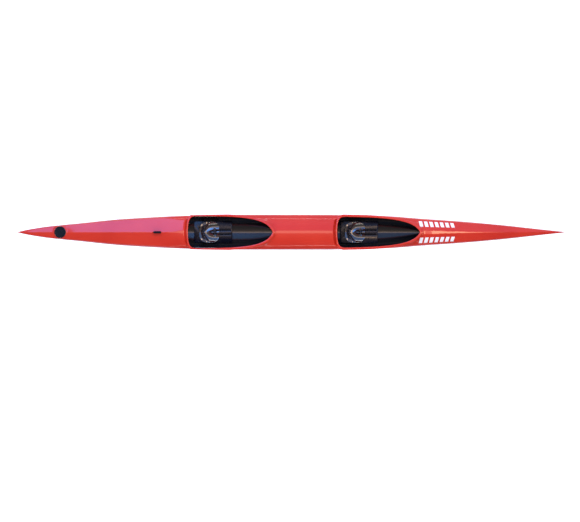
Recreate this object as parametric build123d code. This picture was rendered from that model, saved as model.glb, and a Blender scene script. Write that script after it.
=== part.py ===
from build123d import *
import os
from math import cos, radians, sin, sqrt, tan

# Two-seat racing kayak, in millimetres. +X is forward to the bow, +Y is port and +Z is up.
# The origin lies under the keel, halfway along the boat.

# Whole boat
LENGTH = 6500.0
BEAM = 414.0
WALL = 4.0
SEAM_MID_Z = 196.0
SEAM_RISE_AFT = 0.004
BOND = 0.3
POURED_END = 200.0
TRIM_HEIGHT = 8.0
TRIM_WALL = 1.2
TRIM_GAP = 0.6

# Cockpits
REAR_WELL_AFT = -1227.0
REAR_WELL_TIP = -224.0
REAR_WELL_HALF = 188.0
REAR_SHOULDER_HALF = 190.0
REAR_NOSE_HALF = 165.0
FRONT_WELL_AFT = 541.0
FRONT_WELL_TIP = 1520.0
FRONT_WELL_HALF = 182.0
FRONT_SHOULDER_HALF = 174.0
FRONT_NOSE_HALF = 150.0
RIM_WALL = 4.0
RIM_THICK = 4.0
LIP_AFT = 18.0
LIP_SIDE = 29.0
LIP_TIP = 34.0
RIM_UNDER_DECK = 8.0

# Seats and their platforms
REAR_SEAT_X = -972.0
FRONT_SEAT_X = 752.0
SEAT_LENGTH = 240.0
SEAT_WIDTH = 250.0
SEAT_SKIN = 5.0
SEAT_BACK_RISE = 78.0
SEAT_SIDE_RISE = 42.0
THIGH_SPACING = 116.0
THIGH_RADIUS = 82.0
PLATFORM_TOP = 60.0
PLATFORM_THICK = 6.0
PLATFORM_WIDTH = 254.0
PLATFORM_BEHIND_SEAT = 60.0
PLATFORM_AHEAD_OF_SEAT = 150.0
SLOT_SPACING = 50.0
SLOT_WIDTH = 15.0
BOLT_RADIUS = 3.0
BOLT_GAP = 0.4
BOLT_PITCH = 130.0
WASHER_RADIUS = 11.0
WASHER_THICK = 2.0
NUT_RADIUS = 5.5
NUT_HEIGHT = 6.0

# Footrests
REAR_FOOT_X = 0.0
FRONT_FOOT_X = 1715.0
FOOT_TRAVEL = 25.0
REAR_BOARD_HALF = 118.0
FRONT_BOARD_GAP = 1.0
BOARD_SLOT_HALF = 30.0
BOARD_BOTTOM = 44.0
BOARD_HEIGHT = 112.0
BOARD_THICK = 8.0
BOARD_LEAN = 20.0
RAIL_SPACING = 84.0
RAIL_WIDTH = 14.0
RAIL_RISE = 22.0
RAIL_TOP = WALL + RAIL_RISE
CARRIAGE_THICK = 5.0
CARRIAGE_LENGTH = 84.0
STRAP_WIDTH = 30.0
STRAP_THICK = 2.5
STRAP_BOW = 60.0
SLIDE_GAP = 0.3

# Steering
TILLER_X = 1830.0
TILLER_ARM = 104.0
TILLER_LEVER = 105.0
TILLER_Z = 104.0
TILLER_BLOCK_HALF_LENGTH = 15.0
TILLER_BLOCK_HALF_WIDTH = 25.0
TILLER_FOOT_AHEAD = 55.0
TILLER_FOOT_HALF_WIDTH = 38.0
TILLER_FOOT_RISE = 6.0
CROSSBAR_OVERHANG = 6.0
PIVOT_HEAD = 6.0
PIN_SHOWS = 4.0
TILLER_BAR_RADIUS = 6.0
STICK_TOP = 176.0
PIVOT_RADIUS = 5.0
RUNNING_GAP = 0.05
PIN_RADIUS = 2.0
LINE_RADIUS = 1.25
LINE_BEND = 300.0
GUIDE_HOLE = 7.5
GUIDE_WALL = 3.0
GUIDE_LENGTH = 14.0
EYE_THICK = 3.0
EYE_LENGTH = 24.0
FERRULE_RADIUS = 3.0
FERRULE_LENGTH = 14.0

# Rudder
RUDDER_X = -2700.0
YOKE_ARM = 40.0
YOKE_Z = 186.0
YOKE_THICK = 6.0
STOCK_RADIUS = 5.0
TUBE_RADIUS = 9.0
TUBE_WALL = 1.5
TUBE_TOP = 168.0
BUSH_LENGTH = 15.0
BLADE_CHORD = 84.0
BLADE_DEPTH = 130.0
BLADE_THICK = 12.0
BLADE_BALANCE = 0.38
BLADE_GAP = 3.0

# Stern hatch
HATCH_X = -2740.0
HATCH_RISE = 2.75
HATCH_RADIUS = 69.5
HATCH_BORE = 54.0
RING_THICK = 4.0
RING_WALL = 5.0
RING_DEPTH = 30.0
LID_RADIUS = 62.5
LID_THICK = 8.0
LID_PLUG = 10.0
SEAL_CORD = 1.0
SEAL_GAP = 0.3

# Number plate holder
PLATE_X = -1590.0
PLATE_LENGTH = 100.0
PLATE_WIDTH = 26.0
PLATE_HEIGHT = 26.0
PLATE_SLOT = 4.0
PLATE_SLOT_DEPTH = 16.0

# Bulkheads and foam
AFT_BULKHEAD_X = -1335.0
MID_BULKHEAD_X = 385.0
FORE_BULKHEAD_X = 2060.0
BULKHEAD_THICK = 8.0
FOAM_HALF = 25.0
FOAM_GAP = 12.0

# Rim and well details
WELL_CORNER = 95.0
WELL_CORNER_LEAD = 25.0
WELL_AFT_FULLNESS = 0.8
WELL_NOSE = 66.0
WELL_PRISM_TOP = 400.0
TIP_SPREAD = 1.9
RIM_STEPS = 8
REAR_SHOULDER_X = -550.0
FRONT_SHOULDER_X = 1122.0
REAR_RIM = [(-1245, 281), (-1190, 275), (-1090, 271), (-700, 271), (-450, 280), (-300, 294), (-190, 307)]
FRONT_RIM = [(510, 278), (570, 270), (700, 263), (1080, 264), (1300, 278), (1420, 291), (1554, 307)]

# Seat details
THIGH_FLOOR = 20.0
THIGH_SLOPE = 5.0
BOSS_HEIGHT = 12.0
SLOT_END = 55.0
SLOT_MARGIN = 14.0
BOSS_EDGE = 6.0
BOSS_ROOM = 2.0
NUT_NECK_HALF = 10.0
TEE_HALF = 12.0
TEE_LIP = 5.0
TEE_THICK = 3.0
BOLT_HEAD = 4.0
BACK_SLOPE = 50.0
BACK_LIP = 14.0
BACK_STEP = 8.0

# Footrest details
RAIL_BEHIND = 60.0
RAIL_AHEAD = 110.0
CARRIAGE_BEHIND = 14.0
SKIRT_WALL = 3.0
SKIRT_DEPTH = 4.5
GUSSET_AT = 34.0
GUSSET_WALL = 5.0
GUSSET_REACH = 46.0
GUSSET_HEEL = 6.0
GUSSET_TOE = 12.0
GUSSET_CREST = 30.0
GUSSET_RISE = 60.0
KNOB_AT = 58.0
KNOB_RADIUS = 8.0
KNOB_HEIGHT = 12.0
STRAP_RISE = 60.0
STRAP_INSET = 4.0
RAIL_END_GAP = 18.0

# Steering details
HUB_RADIUS = 13.0
HUB_HALF = 8.0
PIVOT_LOW = 55.0
GRIP_LOW = 122.0
STICK_SHOWS = 14.0
STICK_RADIUS = 7.0
STICK_END_RADIUS = 5.0
STICK_ROOT = 2.0
GRIP_WALL = 3.2
EYE_RISE = 3.5
TILLER_EYE_Z = TILLER_Z + TILLER_BAR_RADIUS + EYE_RISE
YOKE_EYE_Z = YOKE_Z + YOKE_THICK / 2 + EYE_RISE
GUIDE_STAND_OFF = 9.0
GUIDE_PLACES = [(1500, 32), (1180, 16), (600, 15), (-300, 15), (-1150, 15), (-1700, 16), (-2150, 17)]
YOKE_LEAD_X = -2480.0
YOKE_LEAD_Y = 78.0
YOKE_SCREW = 11.0
PIN_NUT_RADIUS = 4.8
PIN_NUT_GAP = 0.7
EYE_SIDE = 4.0
EYE_CORNER = 3.5
TILLER_EYE_PLAY = (1.0, 3.5)
YOKE_EYE_PLAY = (1.6, 6.0)
YOKE_EDGE = 7.0
YOKE_LEAD_DROP = 2.0
SHELF_HALF = 40.0
SHELF_THICK = 5.0

# Blade, hatch and holder details
BLADE_SECTIONS = [(1.0, 0.0), (0.93, 0.25), (0.78, 0.5), (0.54, 0.75), (0.3, 0.93), (0.12, 1.0)]
BLADE_RAKE = 0.5
HATCH_TILT = -2.0
HATCH_PAD = 15.0
HATCH_SCREWS = 6
SCREW_HEAD = 2.6
LID_DISH = 4.0
LID_EDGE = 8.0
LID_RIB = 9.0
PLUG_GAP = 2.5
PLATE_HEAD = 7.0
PLATE_STEM_INSET = 4.0
PLATE_NOSE = 14.0
PLATE_NOSE_HALF = 2.0
PLATE_SLOT_START = 8.0
PLATE_SCREW_HEAD = 3.0
PLATE_SCREW = 2.0
PLATE_SCREW_AT = (-28.0, 28.0)
PLATE_SCREW_BITE = 8.0
PLATE_SCREW_DROP = 2.8
TRIM_END = 40.0
STERN_FOAM_START = -2350.0
MID_FOAM_START = 150.0
BOW_FOAM_END = 2850.0

HALF = LENGTH / 2
HALF_BEAM = BEAM / 2

# Half breadth at the seam: share of the half length from amidships, share of the half beam.
PLAN = [(-1.0, 0.006), (-0.953, 0.165), (-0.88, 0.338), (-0.78, 0.497), (-0.625, 0.744),
        (-0.534, 0.836), (-0.43, 0.92), (-0.30, 0.975), (-0.15, 1.0), (0.12, 1.0), (0.25, 0.966),
        (0.36, 0.913), (0.45, 0.805), (0.614, 0.623), (0.76, 0.42), (0.905, 0.17), (1.0, 0.006)]
# Keel line: share of the half length, height above the keel's lowest point.
KEEL = [(-0.983, 106), (-0.91, 83), (-0.837, 65), (-0.764, 49), (-0.62, 31), (-0.473, 15),
        (-0.29, 2), (-0.2, 0), (0.62, 0), (0.765, 10), (0.911, 24), (0.965, 38)]
STEM_START = 0.965
STERN_START = -0.978
END_CLOSE = 0.97
BILGE_SIDE = 0.55
BILGE_FLAT = 0.55
BILGE_VEE = 0.25
DECK_SIDE = 0.55
DECK_SHOULDER = 0.55
RIDGE_SIDE = 0.15
RIDGE_SHOULDER = 0.1
RIDGE_DROP = 0.25
FORE_SHOULDER = -0.1
FORE_DROP = 0.08
# The ridge begins just aft of the rear cockpit, and the flatter foredeck just ahead of the front one.
RIDGE_START = REAR_WELL_AFT - 73.0
RIDGE_FADE = 250.0
FORE_START = FRONT_WELL_TIP - 70.0
FORE_FADE = 200.0
# Deck crown above the seam at the ends: share of the half length, height.
AFT_CROWN = [(-1.0, 5), (-0.983, 10), (-0.91, 17), (-0.837, 27), (-0.764, 43), (-0.62, 53), (-0.5, 64)]
FORE_CROWN = [(0.55, 71), (0.62, 66), (0.76, 48), (0.91, 28), (0.98, 10), (1.0, 3)]
# Deck crown between the ends: distance from the rear or the front cockpit's aft end, height.
REAR_CROWN = [(-8, 62), (577, 70), (1107, 80)]
FRONT_CROWN = [(-183, 86), (-102, 84), (-34, 60), (44, 60), (369, 76), (759, 82), (1117, 79)]


def curve(points):
    """Returns a smooth function through the points that never overshoots them."""
    xs = [p[0] for p in points]
    ys = [p[1] for p in points]
    steps = [(ys[i + 1] - ys[i]) / (xs[i + 1] - xs[i]) for i in range(len(xs) - 1)]
    slopes = [steps[0]]
    for before, after in zip(steps, steps[1:]):
        slopes.append(0.0 if before * after <= 0 else 2 * before * after / (before + after))
    slopes.append(steps[-1])

    def value(x):
        if x <= xs[0]:
            return ys[0]
        if x >= xs[-1]:
            return ys[-1]
        i = max(k for k in range(len(xs) - 1) if xs[k] <= x)
        span = xs[i + 1] - xs[i]
        t = (x - xs[i]) / span
        rise = 3 * t * t - 2 * t ** 3
        lead = t * (1 - t) ** 2 * span
        tail = t * t * (t - 1) * span
        return ys[i] * (1 - rise) + ys[i + 1] * rise + slopes[i] * lead + slopes[i + 1] * tail
    return value


plan = curve(PLAN)
keel = curve(KEEL)
crown = curve([(u * HALF, z) for u, z in AFT_CROWN] + [(REAR_WELL_AFT + dx, z) for dx, z in REAR_CROWN]
              + [(FRONT_WELL_AFT + dx, z) for dx, z in FRONT_CROWN] + [(u * HALF, z) for u, z in FORE_CROWN])


def seam_z(x):
    return SEAM_MID_Z - SEAM_RISE_AFT * x


def half_breadth(x):
    return HALF_BEAM * plan(x / HALF)


def keel_z(x):
    """Keel height, with the rounded forefoot and the rounded stern at its ends."""
    u = x / HALF
    if u > STEM_START:
        s = min((u - STEM_START) / (1 - STEM_START), 0.9999)
        low = keel(STEM_START)
        return low + (seam_z(x) - low) * (1 - sqrt(1 - s * s)) * END_CLOSE
    if u < STERN_START:
        s = min((STERN_START - u) / (1 + STERN_START), 0.9999)
        low = keel(STERN_START)
        return low + (seam_z(x) - low) * (1 - sqrt(1 - s * s)) * END_CLOSE
    return keel(u)


def ridge_share(x):
    """1 where the aft deck has its ridge, 0 where the deck is a smooth half tube."""
    return min(max((RIDGE_START - x) / RIDGE_FADE, 0.0), 1.0)


def fore_share(x):
    """1 where the foredeck is flatter, 0 where the deck is a smooth half tube."""
    return min(max((x - FORE_START) / FORE_FADE, 0.0), 1.0)


def hull_curve(x, inset):
    """Bezier poles of the port half of the hull section, from the seam to the keel."""
    b = half_breadth(x) - inset
    top = seam_z(x)
    low = keel_z(x) + inset
    vee = BILGE_VEE * min(abs(x) / HALF, 1.0) ** 2
    return [(b, top), (b, top - BILGE_SIDE * (top - low)), ((BILGE_FLAT - vee) * b, low), (0.0, low)]


def deck_curve(x, inset):
    """Bezier poles of the port half of the deck section, from the seam to the centreline."""
    b = half_breadth(x) - inset
    base = seam_z(x) + BOND
    rise = crown(x) - inset
    side = DECK_SIDE + RIDGE_SIDE * ridge_share(x)
    shoulder = DECK_SHOULDER + RIDGE_SHOULDER * ridge_share(x) + FORE_SHOULDER * fore_share(x)
    drop = RIDGE_DROP * ridge_share(x) + FORE_DROP * fore_share(x)
    return [(b, base), (b, base + side * rise), (shoulder * b, base + (1 - drop) * rise), (0.0, base + rise)]


def point_on(poles, t):
    weights = [(1 - t) ** 3, 3 * t * (1 - t) ** 2, 3 * t * t * (1 - t), t ** 3]
    return tuple(sum(w * p[k] for w, p in zip(weights, poles)) for k in (0, 1))


def height_on(poles, y):
    """Height of a half section at the distance y from the centreline."""
    low, high = 0.0, 1.0
    for _ in range(40):
        middle = (low + high) / 2
        if point_on(poles, middle)[0] > abs(y):
            low = middle
        else:
            high = middle
    return point_on(poles, low)[1]


def deck_z(x, y, inset=0.0):
    return height_on(deck_curve(x, inset), y)


def hull_z(x, y, inset=0.0):
    return height_on(hull_curve(x, inset), y)


def half_edge(x, poles, side):
    return Bezier(*[(x, side * y, z) for y, z in poles])


def across(x, poles):
    """The two mirrored edges of a section, from port through the centreline to starboard."""
    return [half_edge(x, poles, 1), half_edge(x, poles[::-1], -1)]


def shell_section(x, outer, inner):
    return Wire(across(x, outer) + [
        Line((x, -outer[0][0], outer[0][1]), (x, -inner[0][0], inner[0][1])),
        *across(x, inner),
        Line((x, inner[0][0], inner[0][1]), (x, outer[0][0], outer[0][1])),
    ])


def closed_section(x, outer):
    return Wire(across(x, outer) + [Line((x, -outer[0][0], outer[0][1]), (x, outer[0][0], outer[0][1]))])


HOLLOW_END = HALF - POURED_END
MIDDLE_STATIONS = [-1500, -1300, -1050, -750, -400, -50, 300, 400, 450, 490, 530, 600, 750, 1000, 1250,
                   1450, 1600, 1750, 1900]
AFT_STATIONS = 9
FORE_STATIONS = 7


def spread(start, end, count):
    return [start + (end - start) * k / count for k in range(count)]


STATIONS = (spread(-HOLLOW_END, MIDDLE_STATIONS[0], AFT_STATIONS) + MIDDLE_STATIONS[:-1]
            + spread(MIDDLE_STATIONS[-1], HOLLOW_END, FORE_STATIONS) + [HOLLOW_END])
BOW_STATIONS = [HOLLOW_END, HALF - 140, HALF - 90, HALF - 50, HALF - 22, HALF - 6, HALF]
STERN_STATIONS = [-x for x in BOW_STATIONS]


def shaped_shell(poles):
    """One half of the boat: a thin shell between two poured solid ends."""
    body = Solid.make_loft([shell_section(x, poles(x, 0.0), poles(x, WALL)) for x in STATIONS])
    for stations in (BOW_STATIONS, STERN_STATIONS):
        body = body + Solid.make_loft([closed_section(x, poles(x, 0.0)) for x in stations])
    return body


def boat_cavity(inset):
    sections = []
    for x in STATIONS:
        hull = hull_curve(x, inset)
        deck = [hull[0], *deck_curve(x, inset)[1:]]
        edges = [half_edge(x, hull, 1), half_edge(x, hull[::-1], -1)]
        edges += [half_edge(x, deck, -1), half_edge(x, deck[::-1], 1)]
        sections.append(Wire(edges))
    return Solid.make_loft(sections)


def block(x, y, z):
    """A block between the low and the high value on each axis."""
    return Pos(sum(x) / 2, sum(y) / 2, sum(z) / 2) * Box(x[1] - x[0], y[1] - y[0], z[1] - z[0])


def post(x, y, z, radius):
    return Pos(x, y, sum(z) / 2) * Cylinder(radius, z[1] - z[0])


def tube(x, y, z, radius, bore):
    return post(x, y, z, radius) - post(x, y, z, bore)


def side_plate(points, y):
    """A plate cut to a side view and extruded between two values of y."""
    outline = Wire.make_polygon([(px, y[0], pz) for px, pz in points])
    return Solid.extrude(Face(outline), Vector(0, y[1] - y[0], 0))


def mirrored(part):
    return mirror(part, Plane.XZ)


def save(name, *solids):
    """Writes one node, as a single solid or as a group of separate ones."""
    found = [one for part in solids for one in part.solids()]
    export_step(found[0] if len(found) == 1 else Compound(children=found), f"parts/{name}.step")


class Well:
    """A cockpit opening: round at its aft end, long sides, and a point on the centreline."""

    def __init__(self, aft, tip, half, shoulder, shoulder_half, nose_half, rim):
        self.aft = aft
        self.tip = tip
        self.half = half
        self.shoulder = shoulder
        self.shoulder_half = shoulder_half
        self.nose_half = nose_half
        self.rim_top = curve(rim)

    def prism(self, grow_aft, grow_side, grow_tip):
        """The outline, grown by these amounts, as a tall upright prism."""
        aft = self.aft - grow_aft
        tip = self.tip + grow_tip
        half = self.half + grow_side
        corner = (self.aft + WELL_CORNER, half)
        nose = (tip - WELL_NOSE, self.nose_half + grow_side)
        edges = []
        for side in (1, -1):
            aft_poles = [(aft, 0), (aft, WELL_AFT_FULLNESS * side * half),
                         (aft + WELL_CORNER_LEAD, side * half), (corner[0], side * half)]
            fore_poles = [(corner[0], side * half), (self.shoulder, side * (self.shoulder_half + grow_side)),
                          (nose[0], side * nose[1]), (tip, 0)]
            if side == 1:
                edges += [Bezier(*aft_poles), Bezier(*fore_poles)]
            else:
                edges += [Bezier(*fore_poles[::-1]), Bezier(*aft_poles[::-1])]
        return Solid.extrude(Face(Wire(edges)), Vector(0, 0, WELL_PRISM_TOP))

    def side_band(self, low, high):
        """A slab across the boat between two height curves, over the length of the rim."""
        start = self.aft - 2 * LIP_AFT
        end = self.tip + 2 * LIP_TIP
        xs = [start + (end - start) * k / RIM_STEPS for k in range(RIM_STEPS + 1)]
        lower = Spline(*[(x, -BEAM, low(x)) for x in xs])
        upper = Spline(*[(x, -BEAM, high(x)) for x in reversed(xs)])
        sides = [Line(lower @ 1, upper @ 0), Line(upper @ 1, lower @ 0)]
        return Solid.extrude(Face(Wire([lower, sides[0], upper, sides[1]])), Vector(0, 2 * BEAM, 0))

    def half_at(self, x):
        """Rough half width of the opening, for the depth of the rim's skirt."""
        if x < self.aft or x > self.tip:
            return 0.0
        if x < self.shoulder:
            return self.half
        return self.half * sqrt(max(1 - ((x - self.shoulder) / (self.tip - self.shoulder)) ** 2, 0.0))

    def skirt_low(self, x):
        return deck_z(x, self.half_at(x) + RIM_WALL) - WALL - RIM_UNDER_DECK

    def coaming(self):
        opening = self.prism(0, 0, 0)
        lip = self.prism(LIP_AFT, LIP_SIDE, LIP_TIP)
        wall = self.prism(RIM_WALL, RIM_WALL, RIM_WALL * TIP_SPREAD)
        beyond = self.prism(2 * LIP_AFT, 2 * LIP_SIDE, 2 * LIP_TIP)
        solid = (lip - opening) & self.side_band(self.skirt_low, self.rim_top)
        under = self.side_band(lambda x: 0.0, lambda x: self.rim_top(x) - RIM_THICK)
        return solid - ((beyond - wall) & under)

    def deck_cut(self):
        gap = RIM_WALL + BOND
        return self.prism(gap, gap, gap * TIP_SPREAD)


REAR_WELL = Well(REAR_WELL_AFT, REAR_WELL_TIP, REAR_WELL_HALF, REAR_SHOULDER_X,
                 REAR_SHOULDER_HALF, REAR_NOSE_HALF, REAR_RIM)
FRONT_WELL = Well(FRONT_WELL_AFT, FRONT_WELL_TIP, FRONT_WELL_HALF, FRONT_SHOULDER_X,
                  FRONT_SHOULDER_HALF, FRONT_NOSE_HALF, FRONT_RIM)
WELLS = {"rear": REAR_WELL, "front": FRONT_WELL}


HATCH_TOP = deck_z(HATCH_X, 0) + HATCH_RISE


def hatch_frame():
    return Location((HATCH_X, 0, HATCH_TOP), (0, HATCH_TILT, 0))


def inner_half(x, z):
    """Half width of the hull's inside at a station and a height."""
    poles = hull_curve(x, WALL)
    low, high = 0.0, 1.0
    for _ in range(40):
        middle = (low + high) / 2
        if point_on(poles, middle)[1] > z:
            low = middle
        else:
            high = middle
    return point_on(poles, low)[0]


def front_board_half():
    """The front board reaches the hull's sides when it stands fully forward."""
    ahead = FRONT_FOOT_X + FOOT_TRAVEL + BOARD_THICK
    return inner_half(ahead, BOARD_BOTTOM - BOARD_THICK / 2) - FRONT_BOARD_GAP


def line_route(side):
    """Steering line from the tiller's eye, aft along the inside of the hull, to the yoke's eye."""
    tiller_eye = (TILLER_X - EYE_LENGTH / 2 - FERRULE_LENGTH, TILLER_ARM, TILLER_EYE_Z)
    yoke_eye = (RUDDER_X + EYE_LENGTH / 2 + FERRULE_LENGTH, YOKE_ARM, YOKE_EYE_Z)
    points = [tiller_eye]
    for x, below_seam in GUIDE_PLACES:
        z = seam_z(x) - below_seam
        points.append((x, inner_half(x, z) - GUIDE_STAND_OFF, z))
    points.append((YOKE_LEAD_X, YOKE_LEAD_Y, YOKE_EYE_Z - YOKE_LEAD_DROP))
    points.append(yoke_eye)
    return [Vector(x, side * y, z) for x, y, z in points]


def line_at(x, side=1):
    """Where the steering line is at the station x."""
    route = line_route(side)
    for fore, aft in zip(route, route[1:]):
        if aft.X <= x <= fore.X:
            return aft + (fore - aft) * ((x - aft.X) / (fore.X - aft.X))
    raise ValueError("the steering line does not reach this station")


def rounded_path(points, radius):
    """Straight runs joined by tangent arcs."""
    edges = []
    start = points[0]
    for before, corner, after in zip(points, points[1:], points[2:]):
        arrive = (corner - before).normalized()
        leave = (after - corner).normalized()
        half_turn = radians(arrive.get_angle(leave)) / 2
        reach = radius * tan(half_turn)
        inward = (leave - arrive).normalized()
        first = corner - arrive * reach
        last = corner + leave * reach
        middle = corner + inward * (radius / cos(half_turn) - radius)
        edges += [Line(start, first), ThreePointArc(first, middle, last)]
        start = last
    edges.append(Line(start, points[-1]))
    return Wire(edges)


def line_holes(x, thick, radius):
    holes = []
    for side in (1, -1):
        at = line_at(x, side)
        holes.append(Pos(at.X, at.Y, at.Z) * Rot(0, 90, 0) * Cylinder(radius, thick))
    return holes


def hull_shell():
    hull = shaped_shell(hull_curve)
    return hull - post(RUDDER_X, 0, (0, TUBE_TOP), TUBE_RADIUS + BOND)


def deck_shell():
    deck = shaped_shell(deck_curve)
    for well in WELLS.values():
        deck = deck - well.deck_cut()
    pad = hatch_frame() * (Pos(0, 0, -HATCH_PAD / 2) * Cylinder(HATCH_RADIUS + RING_WALL, HATCH_PAD))
    bore = hatch_frame() * Cylinder(HATCH_BORE + RING_WALL + BOND, 4 * HATCH_PAD)
    screw_holes = [post(PLATE_X + dx, 0, (0, 2 * HATCH_TOP), PLATE_SCREW + BOND) for dx in PLATE_SCREW_AT]
    return (deck + pad) - bore - screw_holes


def seam_trim():
    """The light strip that covers the joint of hull and deck, one along each side."""
    sections = []
    for x in [-HALF + TRIM_END, *STATIONS, HALF - TRIM_END]:
        y = half_breadth(x) + TRIM_GAP
        low = seam_z(x) - TRIM_HEIGHT / 2
        sections.append(Wire.make_polygon([(x, y, low), (x, y + TRIM_WALL, low),
                                           (x, y + TRIM_WALL, low + TRIM_HEIGHT), (x, y, low + TRIM_HEIGHT)]))
    port = Solid.make_loft(sections)
    return port, mirrored(port)


def bulkhead(cavity, x):
    plate = block((x - BULKHEAD_THICK / 2, x + BULKHEAD_THICK / 2), (-BEAM, BEAM), (-BEAM, 2 * BEAM)) & cavity
    return plate if x > TILLER_X else plate - line_holes(x, 3 * BULKHEAD_THICK, GUIDE_HOLE)


def foam(cavity, start, end):
    return block((start, end), (-FOAM_HALF, FOAM_HALF), (-BEAM, 2 * BEAM)) & cavity


def seat_platform(cavity, seat_x):
    aft = seat_x - SEAT_LENGTH / 2 - PLATFORM_BEHIND_SEAT
    fore = seat_x + SEAT_LENGTH / 2 + PLATFORM_AHEAD_OF_SEAT
    half = PLATFORM_WIDTH / 2
    wall = PLATFORM_THICK
    tray = block((aft, fore), (-half, half), (0, PLATFORM_TOP))
    for side in (-1, 1):
        low, high = sorted((side * wall / 2, side * (half - wall)))
        tray = tray - block((aft + wall, fore - wall), (low, high), (-1, PLATFORM_TOP - wall))
    slot_start = seat_x - BOLT_PITCH / 2 - SLOT_END
    slot_end = fore - SLOT_MARGIN
    for y in (-SLOT_SPACING / 2, SLOT_SPACING / 2):
        slot = block((slot_start, slot_end), (y - SLOT_WIDTH / 2, y + SLOT_WIDTH / 2), (0, 2 * PLATFORM_TOP))
        tray = tray - slot
    return tray & cavity


def bolt_places(seat_x):
    return [(seat_x + dx, dy) for dx in (-BOLT_PITCH / 2, BOLT_PITCH / 2)
            for dy in (-SLOT_SPACING / 2, SLOT_SPACING / 2)]


def seat_form(seat_x, base, inset):
    """The seat as a solid bucket with two thigh grooves, or the hollow under it when it has an inset."""
    aft = seat_x - SEAT_LENGTH / 2 + inset
    fore = seat_x + SEAT_LENGTH / 2 + (SLIDE_GAP if inset else 0.0)
    half = SEAT_WIDTH / 2 + (SLIDE_GAP if inset else 0.0)
    pan = base + SEAT_SIDE_RISE - inset
    back = base + SEAT_BACK_RISE - inset
    side = [(aft, base - inset), (fore, base - inset), (fore, pan), (seat_x, pan),
            (aft + BACK_SLOPE, pan + BACK_STEP), (aft + BACK_LIP, back), (aft, back)]
    form = side_plate(side, (-half, half))
    for y in (-THIGH_SPACING / 2, THIGH_SPACING / 2):
        lie = Location((seat_x, y, base + THIGH_FLOOR + THIGH_RADIUS), (0, 90 + THIGH_SLOPE, 0))
        form = form - lie * Cylinder(THIGH_RADIUS + inset, 2 * SEAT_LENGTH)
    return form


def seat(seat_x):
    """A thin bucket seat on four bosses."""
    base = PLATFORM_TOP + SLIDE_GAP
    form = seat_form(seat_x, base, 0.0)
    skin = form - seat_form(seat_x, base, SEAT_SKIN)
    for x, y in bolt_places(seat_x):
        skin = skin + (post(x, y, (base, base + SEAT_BACK_RISE), WASHER_RADIUS + BOSS_EDGE) & form)
    for x, y in bolt_places(seat_x):
        skin = skin - post(x, y, (base + BOSS_HEIGHT, base + SEAT_BACK_RISE), WASHER_RADIUS + BOSS_ROOM)
        skin = skin - post(x, y, (0, base + SEAT_BACK_RISE), BOLT_RADIUS + BOLT_GAP)
    return skin


def seat_sliders(seat_x):
    """Tee nuts that ride in the platform's slots."""
    top = PLATFORM_TOP - SLIDE_GAP
    under = PLATFORM_TOP - PLATFORM_THICK - SLIDE_GAP
    nuts = []
    for x, y in bolt_places(seat_x):
        half = SLOT_WIDTH / 2 - SLIDE_GAP
        neck = block((x - NUT_NECK_HALF, x + NUT_NECK_HALF), (y - half, y + half), (under - TEE_THICK, top))
        flange = block((x - TEE_HALF, x + TEE_HALF), (y - half - TEE_LIP, y + half + TEE_LIP),
                       (under - TEE_THICK, under))
        nuts.append(neck + flange - post(x, y, (0, 2 * top), BOLT_RADIUS + BOLT_GAP))
    return nuts


def seat_bolts(seat_x):
    """A bolt with its head under the slider, and a washer and a nut on the seat."""
    low = PLATFORM_TOP - PLATFORM_THICK - SLIDE_GAP - TEE_THICK
    seat_top = PLATFORM_TOP + SLIDE_GAP + BOSS_HEIGHT
    pieces = []
    for x, y in bolt_places(seat_x):
        shank_top = seat_top + WASHER_THICK + NUT_HEIGHT
        pieces.append(post(x, y, (low, shank_top), BOLT_RADIUS) + post(x, y, (low - BOLT_HEAD, low), NUT_RADIUS))
        pieces.append(tube(x, y, (seat_top, seat_top + WASHER_THICK), WASHER_RADIUS, BOLT_RADIUS + BOLT_GAP))
        hexagon = extrude(RegularPolygon(NUT_RADIUS, 6), NUT_HEIGHT)
        hollow = Pos(x, y, seat_top + WASHER_THICK) * hexagon
        pieces.append(hollow - post(x, y, (0, 2 * seat_top), BOLT_RADIUS + RUNNING_GAP))
    return pieces


def foot_rails(cavity, foot_x, end):
    rails = []
    for y in (-RAIL_SPACING / 2, RAIL_SPACING / 2):
        rail = block((foot_x - RAIL_BEHIND, end), (y - RAIL_WIDTH / 2, y + RAIL_WIDTH / 2), (0, RAIL_TOP))
        rails.append(rail & cavity)
    return rails


def footboard_solid(foot_x, half):
    lean = Location((foot_x, 0, BOARD_BOTTOM), (0, BOARD_LEAN, 0))
    return lean * (Pos(0, 0, BOARD_HEIGHT / 2) * Box(BOARD_THICK, 2 * half, BOARD_HEIGHT))


def footboard(foot_x, half, slot_half):
    board = footboard_solid(foot_x, half)
    if slot_half:
        board = board - block((foot_x - BOARD_HEIGHT, foot_x + BOARD_HEIGHT), (-slot_half, slot_half),
                              (0, 2 * BOARD_HEIGHT))
    return board


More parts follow.
